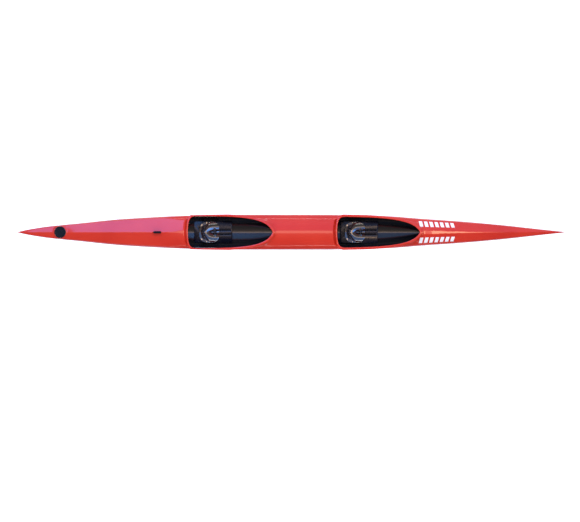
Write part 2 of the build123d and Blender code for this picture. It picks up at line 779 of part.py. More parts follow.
def foot_carriage(foot_x, half):
    """A channel that rides on both rails, with two gussets that carry the board."""
    low = RAIL_TOP + SLIDE_GAP
    top = low + CARRIAGE_THICK
    aft = foot_x - CARRIAGE_BEHIND
    fore = aft + CARRIAGE_LENGTH
    inner = RAIL_SPACING / 2 + RAIL_WIDTH / 2 + SLIDE_GAP
    outer = inner + SKIRT_WALL
    plate = block((aft, fore), (-outer, outer), (low - SKIRT_DEPTH, top))
    plate = plate - block((aft - 1, fore + 1), (-inner, inner), (0, low))
    heel = foot_x - GUSSET_HEEL
    toe = foot_x + GUSSET_REACH
    gusset = [(heel, top), (toe, top), (toe, top + GUSSET_TOE),
              (foot_x + GUSSET_CREST, BOARD_BOTTOM + GUSSET_RISE), (heel, BOARD_BOTTOM)]
    for y in (-GUSSET_AT, GUSSET_AT):
        low_y, high_y = sorted((y, y + (GUSSET_WALL if y > 0 else -GUSSET_WALL)))
        plate = plate + side_plate(gusset, (low_y, high_y))
    plate = plate - footboard_solid(foot_x, half)
    for y in (-RAIL_SPACING / 2, RAIL_SPACING / 2):
        plate = plate - post(foot_x + KNOB_AT, y, (0, 2 * top), BOLT_RADIUS + BOLT_GAP)
    return plate


def foot_knobs(foot_x):
    low = RAIL_TOP + SLIDE_GAP
    top = low + CARRIAGE_THICK
    knobs = []
    for y in (-RAIL_SPACING / 2, RAIL_SPACING / 2):
        x = foot_x + KNOB_AT
        knobs.append(post(x, y, (low, top), BOLT_RADIUS) + post(x, y, (top, top + KNOB_HEIGHT), KNOB_RADIUS))
    return knobs


def foot_strap(foot_x, half):
    """A webbing loop from edge to edge of the board, bowed aft over the feet."""
    reach = half - STRAP_INSET
    face_x = foot_x + BOARD_LEAN
    outer = ThreePointArc((face_x, -reach), (face_x - STRAP_BOW, 0), (face_x, reach))
    inner_reach = reach - STRAP_THICK
    inner = ThreePointArc((face_x, inner_reach), (face_x - STRAP_BOW + STRAP_THICK, 0), (face_x, -inner_reach))
    ends = [Line(outer @ 1, inner @ 0), Line(inner @ 1, outer @ 0)]
    band = Solid.extrude(Face(Wire([outer, ends[0], inner, ends[1]])), Vector(0, 0, STRAP_WIDTH))
    band = Pos(0, 0, BOARD_BOTTOM + STRAP_RISE) * band
    lean = Location((foot_x, 0, BOARD_BOTTOM), (0, BOARD_LEAN, 0))
    ahead = lean * (Pos(BEAM / 2 - BOARD_THICK / 2 - SLIDE_GAP, 0, 0) * Box(BEAM, 2 * BEAM, 2 * BEAM))
    return band - ahead


def tiller_block(cavity):
    aft = TILLER_X - TILLER_BLOCK_HALF_LENGTH
    pillar = block((aft, TILLER_X + TILLER_BLOCK_HALF_LENGTH), (-TILLER_BLOCK_HALF_WIDTH, TILLER_BLOCK_HALF_WIDTH),
                   (0, TILLER_Z - HUB_HALF - 2 * WASHER_THICK))
    foot = block((aft, TILLER_X + TILLER_FOOT_AHEAD), (-TILLER_FOOT_HALF_WIDTH, TILLER_FOOT_HALF_WIDTH),
                 (0, RAIL_TOP + TILLER_FOOT_RISE))
    whole = (pillar + foot) & cavity
    return whole - post(TILLER_X, 0, (PIVOT_LOW, 2 * TILLER_Z), PIVOT_RADIUS + RUNNING_GAP)


def tiller_pivot():
    head_low = TILLER_Z + HUB_HALF + 2 * SLIDE_GAP
    shank = post(TILLER_X, 0, (PIVOT_LOW + 1, head_low), PIVOT_RADIUS)
    return shank + post(TILLER_X, 0, (head_low, head_low + PIVOT_HEAD), 2 * PIVOT_RADIUS)


def tiller_washer():
    top = TILLER_Z - HUB_HALF - SLIDE_GAP
    low = TILLER_Z - HUB_HALF - 2 * WASHER_THICK
    return tube(TILLER_X, 0, (low, top), WASHER_RADIUS, PIVOT_RADIUS + BOLT_GAP)


def tiller_bar():
    """Crossbar, lever and upright stick with a thinner end, and a pin at each end of the crossbar."""
    crossbar = Pos(TILLER_X, 0, TILLER_Z) * Rot(90, 0, 0) * Cylinder(TILLER_BAR_RADIUS, 2 * (TILLER_ARM + CROSSBAR_OVERHANG))
    stick_x = TILLER_X - TILLER_LEVER
    lever = Pos(TILLER_X - TILLER_LEVER / 2, 0, TILLER_Z) * Rot(0, 90, 0) * Cylinder(TILLER_BAR_RADIUS, TILLER_LEVER)
    hub = post(TILLER_X, 0, (TILLER_Z - HUB_HALF, TILLER_Z + HUB_HALF), HUB_RADIUS)
    stick = post(stick_x, 0, (TILLER_Z - TILLER_BAR_RADIUS - STICK_ROOT, STICK_TOP - STICK_SHOWS), STICK_RADIUS)
    stick_end = post(stick_x, 0, (TILLER_Z, STICK_TOP), STICK_END_RADIUS)
    bar = crossbar + lever + hub + (stick + stick_end)
    for y in (-TILLER_ARM, TILLER_ARM):
        bar = bar + post(TILLER_X, y, (TILLER_Z, TILLER_EYE_Z + PIN_SHOWS), PIN_RADIUS)
    return bar - post(TILLER_X, 0, (0, 2 * TILLER_Z), PIVOT_RADIUS + RUNNING_GAP)


def tiller_grip():
    x = TILLER_X - TILLER_LEVER
    return tube(x, 0, (GRIP_LOW, STICK_TOP - STICK_SHOWS), STICK_RADIUS + BOND + GRIP_WALL,
                STICK_RADIUS + BOND)


def pin_nuts(x, arm, eye_z):
    """Small retaining nuts on the two pins, above the line eyes."""
    low = eye_z + EYE_THICK / 2 + PIN_NUT_GAP
    return [tube(x, y, (low, eye_z + PIN_SHOWS), PIN_NUT_RADIUS, PIN_RADIUS + RUNNING_GAP) for y in (-arm, arm)]


def line_eye(x, y, z, line_start, line_next, slot_half_x, slot_half_y):
    """A flat eye with a wide slot for its pin, and the ferrule that the line is swaged into."""
    plate = Pos(x, y, z) * extrude(RectangleRounded(EYE_LENGTH, 2 * (slot_half_y + EYE_SIDE), EYE_CORNER),
                                   EYE_THICK / 2, both=True)
    slot = Pos(x, y, z) * extrude(RectangleRounded(2 * slot_half_x, 2 * slot_half_y, slot_half_x - 0.1),
                                  EYE_THICK, both=True)
    axis = (line_start - line_next).normalized() * (FERRULE_LENGTH + 1)
    circle = Plane(line_start, z_dir=axis) * Edge.make_circle(FERRULE_RADIUS)
    ferrule = Solid.extrude(Face(Wire(circle)), axis)
    return plate + ferrule - slot


def steering_line(side):
    points = line_route(side)
    path = rounded_path(points, LINE_BEND)
    start = Plane(points[0], z_dir=points[1] - points[0])
    round_section = Face(Wire(start * Edge.make_circle(LINE_RADIUS)))
    return sweep(round_section, path)


def line_ends(side):
    route = line_route(side)
    fore = line_eye(TILLER_X, side * TILLER_ARM, TILLER_EYE_Z, route[0], route[1],
                    *[PIN_RADIUS + play for play in TILLER_EYE_PLAY])
    aft = line_eye(RUDDER_X, side * YOKE_ARM, YOKE_EYE_Z, route[-1], route[-2],
                   *[PIN_RADIUS + play for play in YOKE_EYE_PLAY])
    return fore, aft


def line_guides(cavity):
    """Eye blocks bonded to the inside of the hull, one at each bend of the lines."""
    guides = []
    for side in (1, -1):
        for at in line_route(side)[1:-2]:
            half = GUIDE_HOLE + GUIDE_WALL
            low, high = sorted((at.Y - side * half, at.Y + side * BEAM / 4))
            reach = (at.X - GUIDE_LENGTH / 2, at.X + GUIDE_LENGTH / 2)
            body = block(reach, (low, high), (at.Z - half, at.Z + half)) & cavity
            guides.append(body - Pos(at.X, at.Y, at.Z) * Rot(0, 90, 0) * Cylinder(GUIDE_HOLE, 2 * GUIDE_LENGTH))
    return guides


def rudder_tube():
    low = hull_z(RUDDER_X, 0)
    return tube(RUDDER_X, 0, (low, TUBE_TOP), TUBE_RADIUS, TUBE_RADIUS - TUBE_WALL)


def rudder_bushes():
    low = hull_z(RUDDER_X, 0)
    outer = TUBE_RADIUS - TUBE_WALL - RUNNING_GAP
    bore = STOCK_RADIUS + RUNNING_GAP
    upper = tube(RUDDER_X, 0, (TUBE_TOP - BUSH_LENGTH, TUBE_TOP), outer, bore)
    flange = tube(RUDDER_X, 0, (TUBE_TOP, TUBE_TOP + WASHER_THICK), TUBE_RADIUS, bore)
    return upper + flange, tube(RUDDER_X, 0, (low, low + BUSH_LENGTH), outer, bore)


def rudder_shelf(cavity):
    z = TUBE_TOP - 2 * BUSH_LENGTH
    shelf = block((RUDDER_X - SHELF_HALF, RUDDER_X + SHELF_HALF), (-BEAM, BEAM), (z, z + SHELF_THICK)) & cavity
    return shelf - post(RUDDER_X, 0, (0, TUBE_TOP), TUBE_RADIUS + BOND)


def rudder_stock():
    return post(RUDDER_X, 0, (blade_top(), YOKE_Z + YOKE_THICK / 2), STOCK_RADIUS)


def blade_top():
    return hull_z(RUDDER_X, 0) - BLADE_GAP


def rudder_blade():
    """A spade blade: streamlined sections that shrink to a small rounded tip."""
    sections = []
    for share, drop in BLADE_SECTIONS:
        chord = BLADE_CHORD * share
        nose = RUDDER_X + BLADE_BALANCE * BLADE_CHORD - (1 - share) * BLADE_RAKE * BLADE_CHORD
        z = blade_top() - BLADE_DEPTH * drop
        thick = BLADE_THICK * share / 2
        edges = []
        for side in (1, -1):
            poles = [(nose, 0, z), (nose, side * thick * 1.2, z), (nose - 0.45 * chord, side * thick * 1.5, z),
                     (nose - chord, side * 0.4, z)]
            edges.append(Bezier(*poles) if side == 1 else Bezier(*poles[::-1]))
        edges.insert(1, Line(edges[0] @ 1, edges[1] @ 0))
        sections.append(Wire(edges))
    return Solid.make_loft(sections)


def rudder_yoke():
    low = TUBE_TOP + WASHER_THICK + SLIDE_GAP
    top = YOKE_Z + YOKE_THICK / 2
    arm = extrude(SlotOverall(2 * (YOKE_ARM + YOKE_EDGE), 2 * YOKE_EDGE), YOKE_THICK / 2, both=True)
    hub = post(RUDDER_X, 0, (low, top + 1), HUB_RADIUS - 2)
    yoke = hub + Pos(RUDDER_X, 0, YOKE_Z) * Rot(0, 0, 90) * arm
    for y in (-YOKE_ARM, YOKE_ARM):
        yoke = yoke + post(RUDDER_X, y, (YOKE_Z, YOKE_EYE_Z + PIN_SHOWS), PIN_RADIUS)
    yoke = yoke - post(RUDDER_X, 0, (0, 2 * top), STOCK_RADIUS + RUNNING_GAP)
    tapped = Rot(0, 90, 0) * Cylinder(PIN_RADIUS + RUNNING_GAP, 2 * HUB_RADIUS)
    return yoke - Pos(RUDDER_X + HUB_RADIUS, 0, yoke_screw_z()) * tapped


def yoke_screw_z():
    return (TUBE_TOP + WASHER_THICK + YOKE_Z - YOKE_THICK / 2) / 2


def yoke_screw():
    """Set screw through the yoke's hub, tight on the stock."""
    middle = RUDDER_X + STOCK_RADIUS + RUNNING_GAP + YOKE_SCREW / 2
    return Pos(middle, 0, yoke_screw_z()) * Rot(0, 90, 0) * Cylinder(PIN_RADIUS, YOKE_SCREW)


def hatch_ring():
    flange = Pos(0, 0, RING_THICK / 2) * Cylinder(HATCH_RADIUS, RING_THICK)
    neck = Pos(0, 0, (RING_THICK - RING_DEPTH) / 2) * Cylinder(HATCH_BORE + RING_WALL, RING_THICK + RING_DEPTH)
    ring = flange + neck - Cylinder(HATCH_BORE, 4 * RING_DEPTH)
    for x, y in hatch_screw_places():
        ring = ring - Pos(x, y, RING_THICK / 2) * Cylinder(SCREW_HEAD, RING_THICK)
    return hatch_frame() * ring


def hatch_screw_places():
    turn = 360 / HATCH_SCREWS
    reach = (HATCH_RADIUS + LID_RADIUS) / 2
    return [(reach * cos(radians(k * turn + turn / 2)), reach * sin(radians(k * turn + turn / 2)))
            for k in range(HATCH_SCREWS)]


def hatch_screws():
    head = RING_THICK - BOND
    return [hatch_frame() * (Pos(x, y, head / 2 + BOND / 2) * Cylinder(SCREW_HEAD - BOND, head))
            for x, y in hatch_screw_places()]


def hatch_lid():
    """A round push-in lid with crossed grip ribs and a plug that goes down into the ring."""
    base = RING_THICK + SLIDE_GAP
    disc = Pos(0, 0, base + LID_THICK / 2) * Cylinder(LID_RADIUS, LID_THICK)
    dish = Pos(0, 0, base + LID_THICK - LID_DISH / 2) * Cylinder(LID_RADIUS - LID_EDGE, LID_DISH)
    plug_top = base + 1
    plug = Pos(0, 0, (plug_top - LID_PLUG) / 2) * Cylinder(HATCH_BORE - PLUG_GAP, plug_top + LID_PLUG)
    lid = disc + plug - dish
    for turn in (45, 135):
        rib = Rot(0, 0, turn) * Box(2 * (LID_RADIUS - LID_EDGE / 2), LID_RIB, LID_DISH)
        lid = lid + Pos(0, 0, base + LID_THICK - LID_DISH / 2) * rib
    groove = Pos(0, 0, -LID_PLUG / 2) * Torus(HATCH_BORE - SEAL_CORD - SEAL_GAP, SEAL_CORD + SEAL_GAP / 2)
    return hatch_frame() * (lid - groove)


def hatch_seal():
    return hatch_frame() * (Pos(0, 0, -LID_PLUG / 2) * Torus(HATCH_BORE - SEAL_CORD - SEAL_GAP, SEAL_CORD))


def plate_screw_places():
    return [(PLATE_X + dx, deck_z(PLATE_X + dx, 0)) for dx in PLATE_SCREW_AT]


def number_plate_holder():
    """A small fin on the deck's ridge, with a flat wider top and a lengthwise slot for the plate."""
    top = deck_z(PLATE_X, 0) + PLATE_HEIGHT
    solids = []
    for half, low in ((PLATE_WIDTH / 2, top - PLATE_HEAD), (PLATE_WIDTH / 2 - PLATE_STEM_INSET, top - 2 * PLATE_HEIGHT)):
        reach = PLATE_LENGTH / 2
        nose = PLATE_NOSE_HALF
        flank = reach - PLATE_NOSE
        corners = [(-reach, -nose), (-flank, -half), (flank, -half), (reach, -nose),
                   (reach, nose), (flank, half), (-flank, half), (-reach, nose)]
        outline = Wire.make_polygon([(PLATE_X + dx, y, low) for dx, y in corners])
        solids.append(Solid.extrude(Face(outline), Vector(0, 0, top - low)))
    slot = block((PLATE_X - PLATE_LENGTH / 2 + PLATE_SLOT_START, PLATE_X + PLATE_LENGTH), (-PLATE_SLOT / 2, PLATE_SLOT / 2),
                 (top - PLATE_SLOT_DEPTH, 2 * top))
    deck = Solid.make_loft([closed_section(x, [(y, z + (0 if y else BOND)) for y, z in deck_curve(x, -BOND)])
                            for x in (PLATE_X - PLATE_LENGTH, PLATE_X, PLATE_X + PLATE_LENGTH)])
    holder = solids[0] + solids[1] - slot - deck
    for x, z in plate_screw_places():
        holder = holder - post(x, 0, (z, z + PLATE_SCREW_BITE), PLATE_SCREW + RUNNING_GAP)
    return holder


def plate_screws():
    """Two screws that come up from inside, through the deck into the holder."""
    screws = []
    for x, z in plate_screw_places():
        under = z - WALL - PLATE_SCREW_DROP
        screws.append(post(x, 0, (under, z + PLATE_SCREW_BITE - 1), PLATE_SCREW)
                      + post(x, 0, (under - PLATE_SCREW_HEAD, under), 3 * PLATE_SCREW))
    return screws


def main():
    os.makedirs("parts", exist_ok=True)
    cavity = boat_cavity(WALL + BOND)
    save("hull_shell", hull_shell())
    save("deck_shell", deck_shell())
    save("seam_trim", *seam_trim())
    for name, x in (("aft", AFT_BULKHEAD_X), ("mid", MID_BULKHEAD_X), ("fore", FORE_BULKHEAD_X)):
        save(f"bulkhead_{name}", bulkhead(cavity, x))
    save("stern_foam", foam(cavity, STERN_FOAM_START, PLATE_X - PLATE_LENGTH / 2 - FOAM_GAP))
    save("mid_foam", foam(cavity, MID_FOAM_START, MID_BULKHEAD_X - BULKHEAD_THICK / 2 - BOND))
    save("bow_foam", foam(cavity, FORE_BULKHEAD_X + BULKHEAD_THICK / 2 + BOND, BOW_FOAM_END))
    seats = {"rear": REAR_SEAT_X, "front": FRONT_SEAT_X}
    feet = {"rear": (REAR_FOOT_X, REAR_BOARD_HALF, 0.0, REAR_FOOT_X + RAIL_AHEAD),
            "front": (FRONT_FOOT_X, front_board_half(), BOARD_SLOT_HALF, TILLER_X - RAIL_END_GAP)}
    for place, well in WELLS.items():
        save(f"coaming_{place}", well.coaming())
        save(f"seat_platform_{place}", seat_platform(cavity, seats[place]))
        save(f"seat_{place}", seat(seats[place]))
        save(f"seat_sliders_{place}", *seat_sliders(seats[place]))
        save(f"seat_bolts_{place}", *seat_bolts(seats[place]))
        foot_x, half, slot_half, rail_end = feet[place]
        save(f"foot_rails_{place}", *foot_rails(cavity, foot_x, rail_end))
        save(f"foot_carriage_{place}", foot_carriage(foot_x, half))
        save(f"foot_knobs_{place}", *foot_knobs(foot_x))
        save(f"footboard_{place}", footboard(foot_x, half, slot_half))
        save(f"foot_strap_{place}", foot_strap(foot_x, half))
    save("tiller_block", tiller_block(cavity))
    save("tiller_pivot", tiller_pivot())
    save("tiller_washer", tiller_washer())
    save("tiller_bar", tiller_bar())
    save("tiller_grip", tiller_grip())
    save("tiller_pin_nuts", *pin_nuts(TILLER_X, TILLER_ARM, TILLER_EYE_Z))
    for name, side in (("port", 1), ("starboard", -1)):
        save(f"steering_line_{name}", steering_line(side))
        save(f"line_ends_{name}", *line_ends(side))
    save("line_guides", *line_guides(cavity))
    save("rudder_tube", rudder_tube())
    save("rudder_bushes", *rudder_bushes())
    save("rudder_shelf", rudder_shelf(cavity))
    save("rudder_stock", rudder_stock())
    save("rudder_blade", rudder_blade())
    save("rudder_yoke", rudder_yoke())
    save("yoke_screw", yoke_screw())
    save("yoke_pin_nuts", *pin_nuts(RUDDER_X, YOKE_ARM, YOKE_EYE_Z))
    save("hatch_ring", hatch_ring())
    save("hatch_screws", *hatch_screws())
    save("hatch_lid", hatch_lid())
    save("hatch_seal", hatch_seal())
    save("number_plate_holder", number_plate_holder())
    save("number_plate_screws", *plate_screws())


main()
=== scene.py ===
import bpy
import bmesh
import math
from mathutils import Matrix, Vector


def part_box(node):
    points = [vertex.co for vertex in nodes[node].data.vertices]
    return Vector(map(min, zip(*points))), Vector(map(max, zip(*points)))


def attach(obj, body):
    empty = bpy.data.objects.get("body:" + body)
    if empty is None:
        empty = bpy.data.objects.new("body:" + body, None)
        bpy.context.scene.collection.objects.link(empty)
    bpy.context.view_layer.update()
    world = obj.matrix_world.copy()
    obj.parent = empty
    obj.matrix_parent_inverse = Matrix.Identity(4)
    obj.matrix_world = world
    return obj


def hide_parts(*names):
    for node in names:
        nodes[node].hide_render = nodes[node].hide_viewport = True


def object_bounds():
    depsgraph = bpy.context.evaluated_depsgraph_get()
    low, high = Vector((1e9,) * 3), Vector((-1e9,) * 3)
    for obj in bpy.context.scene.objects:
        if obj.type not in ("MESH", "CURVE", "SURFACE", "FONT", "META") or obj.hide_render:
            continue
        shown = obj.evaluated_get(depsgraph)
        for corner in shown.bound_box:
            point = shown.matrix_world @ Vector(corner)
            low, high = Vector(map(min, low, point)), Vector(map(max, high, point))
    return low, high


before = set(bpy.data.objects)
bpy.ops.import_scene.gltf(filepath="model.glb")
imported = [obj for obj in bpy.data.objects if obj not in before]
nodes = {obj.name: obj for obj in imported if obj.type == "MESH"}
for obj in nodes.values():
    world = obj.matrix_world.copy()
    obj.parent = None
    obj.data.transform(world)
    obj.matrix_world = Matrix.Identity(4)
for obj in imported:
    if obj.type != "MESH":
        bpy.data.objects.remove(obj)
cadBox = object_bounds()
print("frame loaded:", len(nodes), "nodes")


def smoothCurve(points):
    # smooth function through a few points, with no overshoot
    xs = [p[0] for p in points]
    ys = [p[1] for p in points]
    steps = [(ys[i + 1] - ys[i]) / (xs[i + 1] - xs[i]) for i in range(len(xs) - 1)]
    slopes = [steps[0]]
    for before, after in zip(steps, steps[1:]):
        slopes.append(0.0 if before * after <= 0 else 2 * before * after / (before + after))
    slopes.append(steps[-1])

    def value(x):
        if x <= xs[0]:
            return ys[0]
        if x >= xs[-1]:
            return ys[-1]
        i = max(k for k in range(len(xs) - 1) if xs[k] <= x)
        span = xs[i + 1] - xs[i]
        t = (x - xs[i]) / span
        rise = 3 * t * t - 2 * t ** 3
        lead = t * (1 - t) ** 2 * span
        tail = t * t * (t - 1) * span
        return ys[i] * (1 - rise) + ys[i + 1] * rise + slopes[i] * lead + slopes[i + 1] * tail
    return value


def straightCurve(points):
    # straight runs through the points
    def value(x):
        for (ax, ay), (bx, by) in zip(points, points[1:]):
            if x <= bx:
                return ay + (by - ay) * (max(x, ax) - ax) / (bx - ax)
        return points[-1][1]
    return value


def easeStep(low, high, x):
    t = min(max((x - low) / (high - low), 0.0), 1.0)
    return t * t * (3 - 2 * t)


def bezierPoint(poles, t):
    weights = ((1 - t) ** 3, 3 * t * (1 - t) ** 2, 3 * t * t * (1 - t), t ** 3)
    return tuple(sum(w * p[k] for w, p in zip(weights, poles)) for k in (0, 1))


def bezierSolve(poles, target, axis):
    # parameter where a curve that keeps rising or falling along one axis reaches the target
    rising = poles[3][axis] > poles[0][axis]
    low, high = 0.0, 1.0
    for _ in range(36):
        middle = (low + high) / 2
        if (bezierPoint(poles, middle)[axis] < target) == rising:
            low = middle
        else:
            high = middle
    return (low + high) / 2


def mix(a, b, share):
    return tuple(p + (q - p) * share for p, q in zip(a, b))


def addObject(name, data):
    thing = bpy.data.objects.new(name, data)
    bpy.context.scene.collection.objects.link(thing)
    return thing


# nodes that the finishes share

grainForm = {"cloudDetail": 3.0, "grainDetail": 6.0, "low": 0.3, "high": 0.7, "weaveWander": 0.6, "weaveCloud": 40.0,
             "threadLow": 0.1, "threadHigh": 0.7}


def noiseNode(tree, scale, detail=4.0, stretch=(1.0, 1.0, 1.0)):
    place = tree.nodes.new("ShaderNodeTexCoord")
    mapping = tree.nodes.new("ShaderNodeMapping")
    mapping.inputs["Scale"].default_value = stretch
    noise = tree.nodes.new("ShaderNodeTexNoise")
    noise.inputs["Scale"].default_value = scale
    noise.inputs["Detail"].default_value = detail
    tree.links.new(place.outputs["Object"], mapping.inputs["Vector"])
    tree.links.new(mapping.outputs["Vector"], noise.inputs["Vector"])
    return noise.outputs["Fac"]


def rampNode(tree, source, stops):
    ramp = tree.nodes.new("ShaderNodeValToRGB")
    cells = ramp.color_ramp.elements
    while len(cells) < len(stops):
        cells.new(0.5)
    for cell, (place, colour) in zip(cells, stops):
        cell.position = place
        cell.color = (*colour, 1.0)
    tree.links.new(source, ramp.inputs["Fac"])
    return ramp.outputs["Color"]


def rangeNode(tree, source, low, high):
    span = tree.nodes.new("ShaderNodeMapRange")
    span.inputs["From Min"].default_value = grainForm["low"]
    span.inputs["From Max"].default_value = grainForm["high"]
    span.inputs["To Min"].default_value = low
    span.inputs["To Max"].default_value = high
    tree.links.new(source, span.inputs["Value"])
    return span.outputs["Result"]


def bumpNode(tree, source, strength, distance):
    bump = tree.nodes.new("ShaderNodeBump")
    bump.inputs["Strength"].default_value = strength
    bump.inputs["Distance"].default_value = distance
    tree.links.new(source, bump.inputs["Height"])
    return bump.outputs["Normal"]


def shader(name, metallic=0.0, coat=0.0, coatRough=0.05, specular=0.5, sheen=0.0, coatIor=1.5):
    material = bpy.data.materials.new(name)
    material.use_nodes = True
    tree = material.node_tree
    face = tree.nodes["Principled BSDF"]
    face.inputs["Metallic"].default_value = metallic
    face.inputs["Coat Weight"].default_value = coat
    face.inputs["Coat Roughness"].default_value = coatRough
    face.inputs["Coat IOR"].default_value = coatIor
    face.inputs["Specular IOR Level"].default_value = specular
    face.inputs["Sheen Weight"].default_value = sheen
    return material, tree, face


def finish(name, colours, rough, grain, bump, stretch=(1, 1, 1), cloud=3.0, **values):
    # cloudy colour over a fine grain, for everything that isn't woven
    material, tree, face = shader(name, **values)
    broad = noiseNode(tree, cloud, grainForm["cloudDetail"])
    fine = noiseNode(tree, grain, grainForm["grainDetail"], stretch)
    tint = rampNode(tree, broad, [(grainForm["low"], colours[0]), (grainForm["high"], colours[1])])
    tree.links.new(tint, face.inputs["Base Color"])
    tree.links.new(rangeNode(tree, fine, *rough), face.inputs["Roughness"])
    tree.links.new(bumpNode(tree, fine, *bump), face.inputs["Normal"])
    return material


def wovenFinish(name, colours, rough, thread, bump, turn=0.0, **values):
    # two crossed sets of threads
    material, tree, face = shader(name, **values)
    place = tree.nodes.new("ShaderNodeTexCoord")
    mapping = tree.nodes.new("ShaderNodeMapping")
    mapping.inputs["Rotation"].default_value = (0, 0, turn)
    tree.links.new(place.outputs["Object"], mapping.inputs["Vector"])
    heights = []
    for way in ("X", "Y"):
        wave = tree.nodes.new("ShaderNodeTexWave")
        wave.bands_direction = way
        wave.inputs["Scale"].default_value = thread
        wave.inputs["Distortion"].default_value = grainForm["weaveWander"]
        tree.links.new(mapping.outputs["Vector"], wave.inputs["Vector"])
        heights.append(wave.outputs["Fac"])
    cross = tree.nodes.new("ShaderNodeMath")
    cross.operation = "MULTIPLY"
    tree.links.new(heights[0], cross.inputs[0])
    tree.links.new(heights[1], cross.inputs[1])
    stops = [(grainForm["threadLow"], colours[0]), (grainForm["threadHigh"], colours[1])]
    tree.links.new(rampNode(tree, cross.outputs[0], stops), face.inputs["Base Color"])
    tree.links.new(rangeNode(tree, noiseNode(tree, grainForm["weaveCloud"]), *rough), face.inputs["Roughness"])
    tree.links.new(bumpNode(tree, cross.outputs[0], *bump), face.inputs["Normal"])
    return material


# each finish: two colours, the range of its roughness, the size of its grain, and its bump's strength and depth

redGelcoat = finish("redGelcoat", [(0.47, 0.018, 0.009), (0.52, 0.026, 0.012)], (0.22, 0.32), 700.0, (0.02, 0.0004),
                    coat=1.0, coatRough=0.05, specular=0.15)
whiteGelcoat = finish("whiteGelcoat", [(0.42, 0.46, 0.53), (0.46, 0.50, 0.57)], (0.2, 0.3), 700.0, (0.02, 0.0004),
                      coat=1.0, coatRough=0.06, specular=0.15)
whiteTrim = finish("whiteTrim", [(0.66, 0.68, 0.72), (0.72, 0.74, 0.77)], (0.2, 0.3), 500.0, (0.03, 0.0004),
                   coat=0.4)
whiteMark = finish("whiteMark", [(0.72, 0.72, 0.76), (0.78, 0.78, 0.81)], (0.25, 0.35), 300.0, (0.02, 0.0003),
                   coat=0.5)
blackInside = wovenFinish("blackInside", [(0.0030, 0.0034, 0.0048), (0.0070, 0.0076, 0.0100)], (0.16, 0.26), 130.0,
                          (0.06, 0.0003), turn=0.785, coat=0.75, coatRough=0.10)
navyLaminate = wovenFinish("navyLaminate", [(0.0030, 0.0042, 0.0100), (0.0065, 0.0085, 0.0180)], (0.2, 0.32), 160.0,
                           (0.06, 0.0003), coat=0.2, coatRough=0.12, specular=0.3)
seatGloss = finish("seatGloss", [(0.0022, 0.0024, 0.0030), (0.0045, 0.0048, 0.0058)], (0.10, 0.2), 260.0,
                   (0.05, 0.0005), coat=1.0, coatRough=0.05, specular=0.8, coatIor=2.1)
blackPlastic = finish("blackPlastic", [(0.0030, 0.0050, 0.0075), (0.0065, 0.0095, 0.0130)], (0.34, 0.5), 900.0,
                      (0.15, 0.0003), specular=0.15)
rudderBlack = finish("rudderBlack", [(0.010, 0.010, 0.011), (0.020, 0.020, 0.022)], (0.22, 0.36), 420.0,
                     (0.06, 0.0005), coat=0.3, coatRough=0.15)
innerBoard = finish("innerBoard", [(0.035, 0.036, 0.040), (0.060, 0.061, 0.065)], (0.45, 0.65), 240.0, (0.25, 0.0008))
foamWhite = finish("foamWhite", [(0.62, 0.63, 0.65), (0.72, 0.73, 0.74)], (0.75, 0.9), 320.0, (0.6, 0.0015))
brushedAlloy = finish("brushedAlloy", [(0.52, 0.53, 0.55), (0.66, 0.67, 0.69)], (0.26, 0.42), 60.0, (0.12, 0.0004),
                      stretch=(1.0, 22.0, 22.0), cloud=20.0, metallic=1.0)
plainSteel = finish("plainSteel", [(0.50, 0.50, 0.51), (0.62, 0.62, 0.63)], (0.2, 0.34), 500.0, (0.08, 0.0002),
                    cloud=40.0, metallic=1.0)
blackedSteel = finish("blackedSteel", [(0.030, 0.030, 0.034), (0.055, 0.055, 0.060)], (0.3, 0.45), 500.0,
                      (0.08, 0.0002), cloud=40.0, metallic=1.0)
softRubber = finish("softRubber", [(0.018, 0.018, 0.018), (0.032, 0.032, 0.031)], (0.6, 0.8), 600.0, (0.3, 0.0005))
blackWebbing = wovenFinish("blackWebbing", [(0.010, 0.010, 0.012), (0.045, 0.045, 0.050)], (0.7, 0.85), 260.0,
                           (0.7, 0.0008), turn=0.4, sheen=0.3)
braidedLine = wovenFinish("braidedLine", [(0.30, 0.30, 0.29), (0.74, 0.74, 0.71)], (0.6, 0.75), 300.0, (0.8, 0.0006),
                          turn=0.785, sheen=0.2)
paleFloor = finish("paleFloor", [(0.93, 0.93, 0.93), (0.95, 0.95, 0.95)], (0.8, 0.9), 3.0, (0.02, 0.001), cloud=0.2,
                   specular=0.0)
print("materials made")


# camera, floor and light

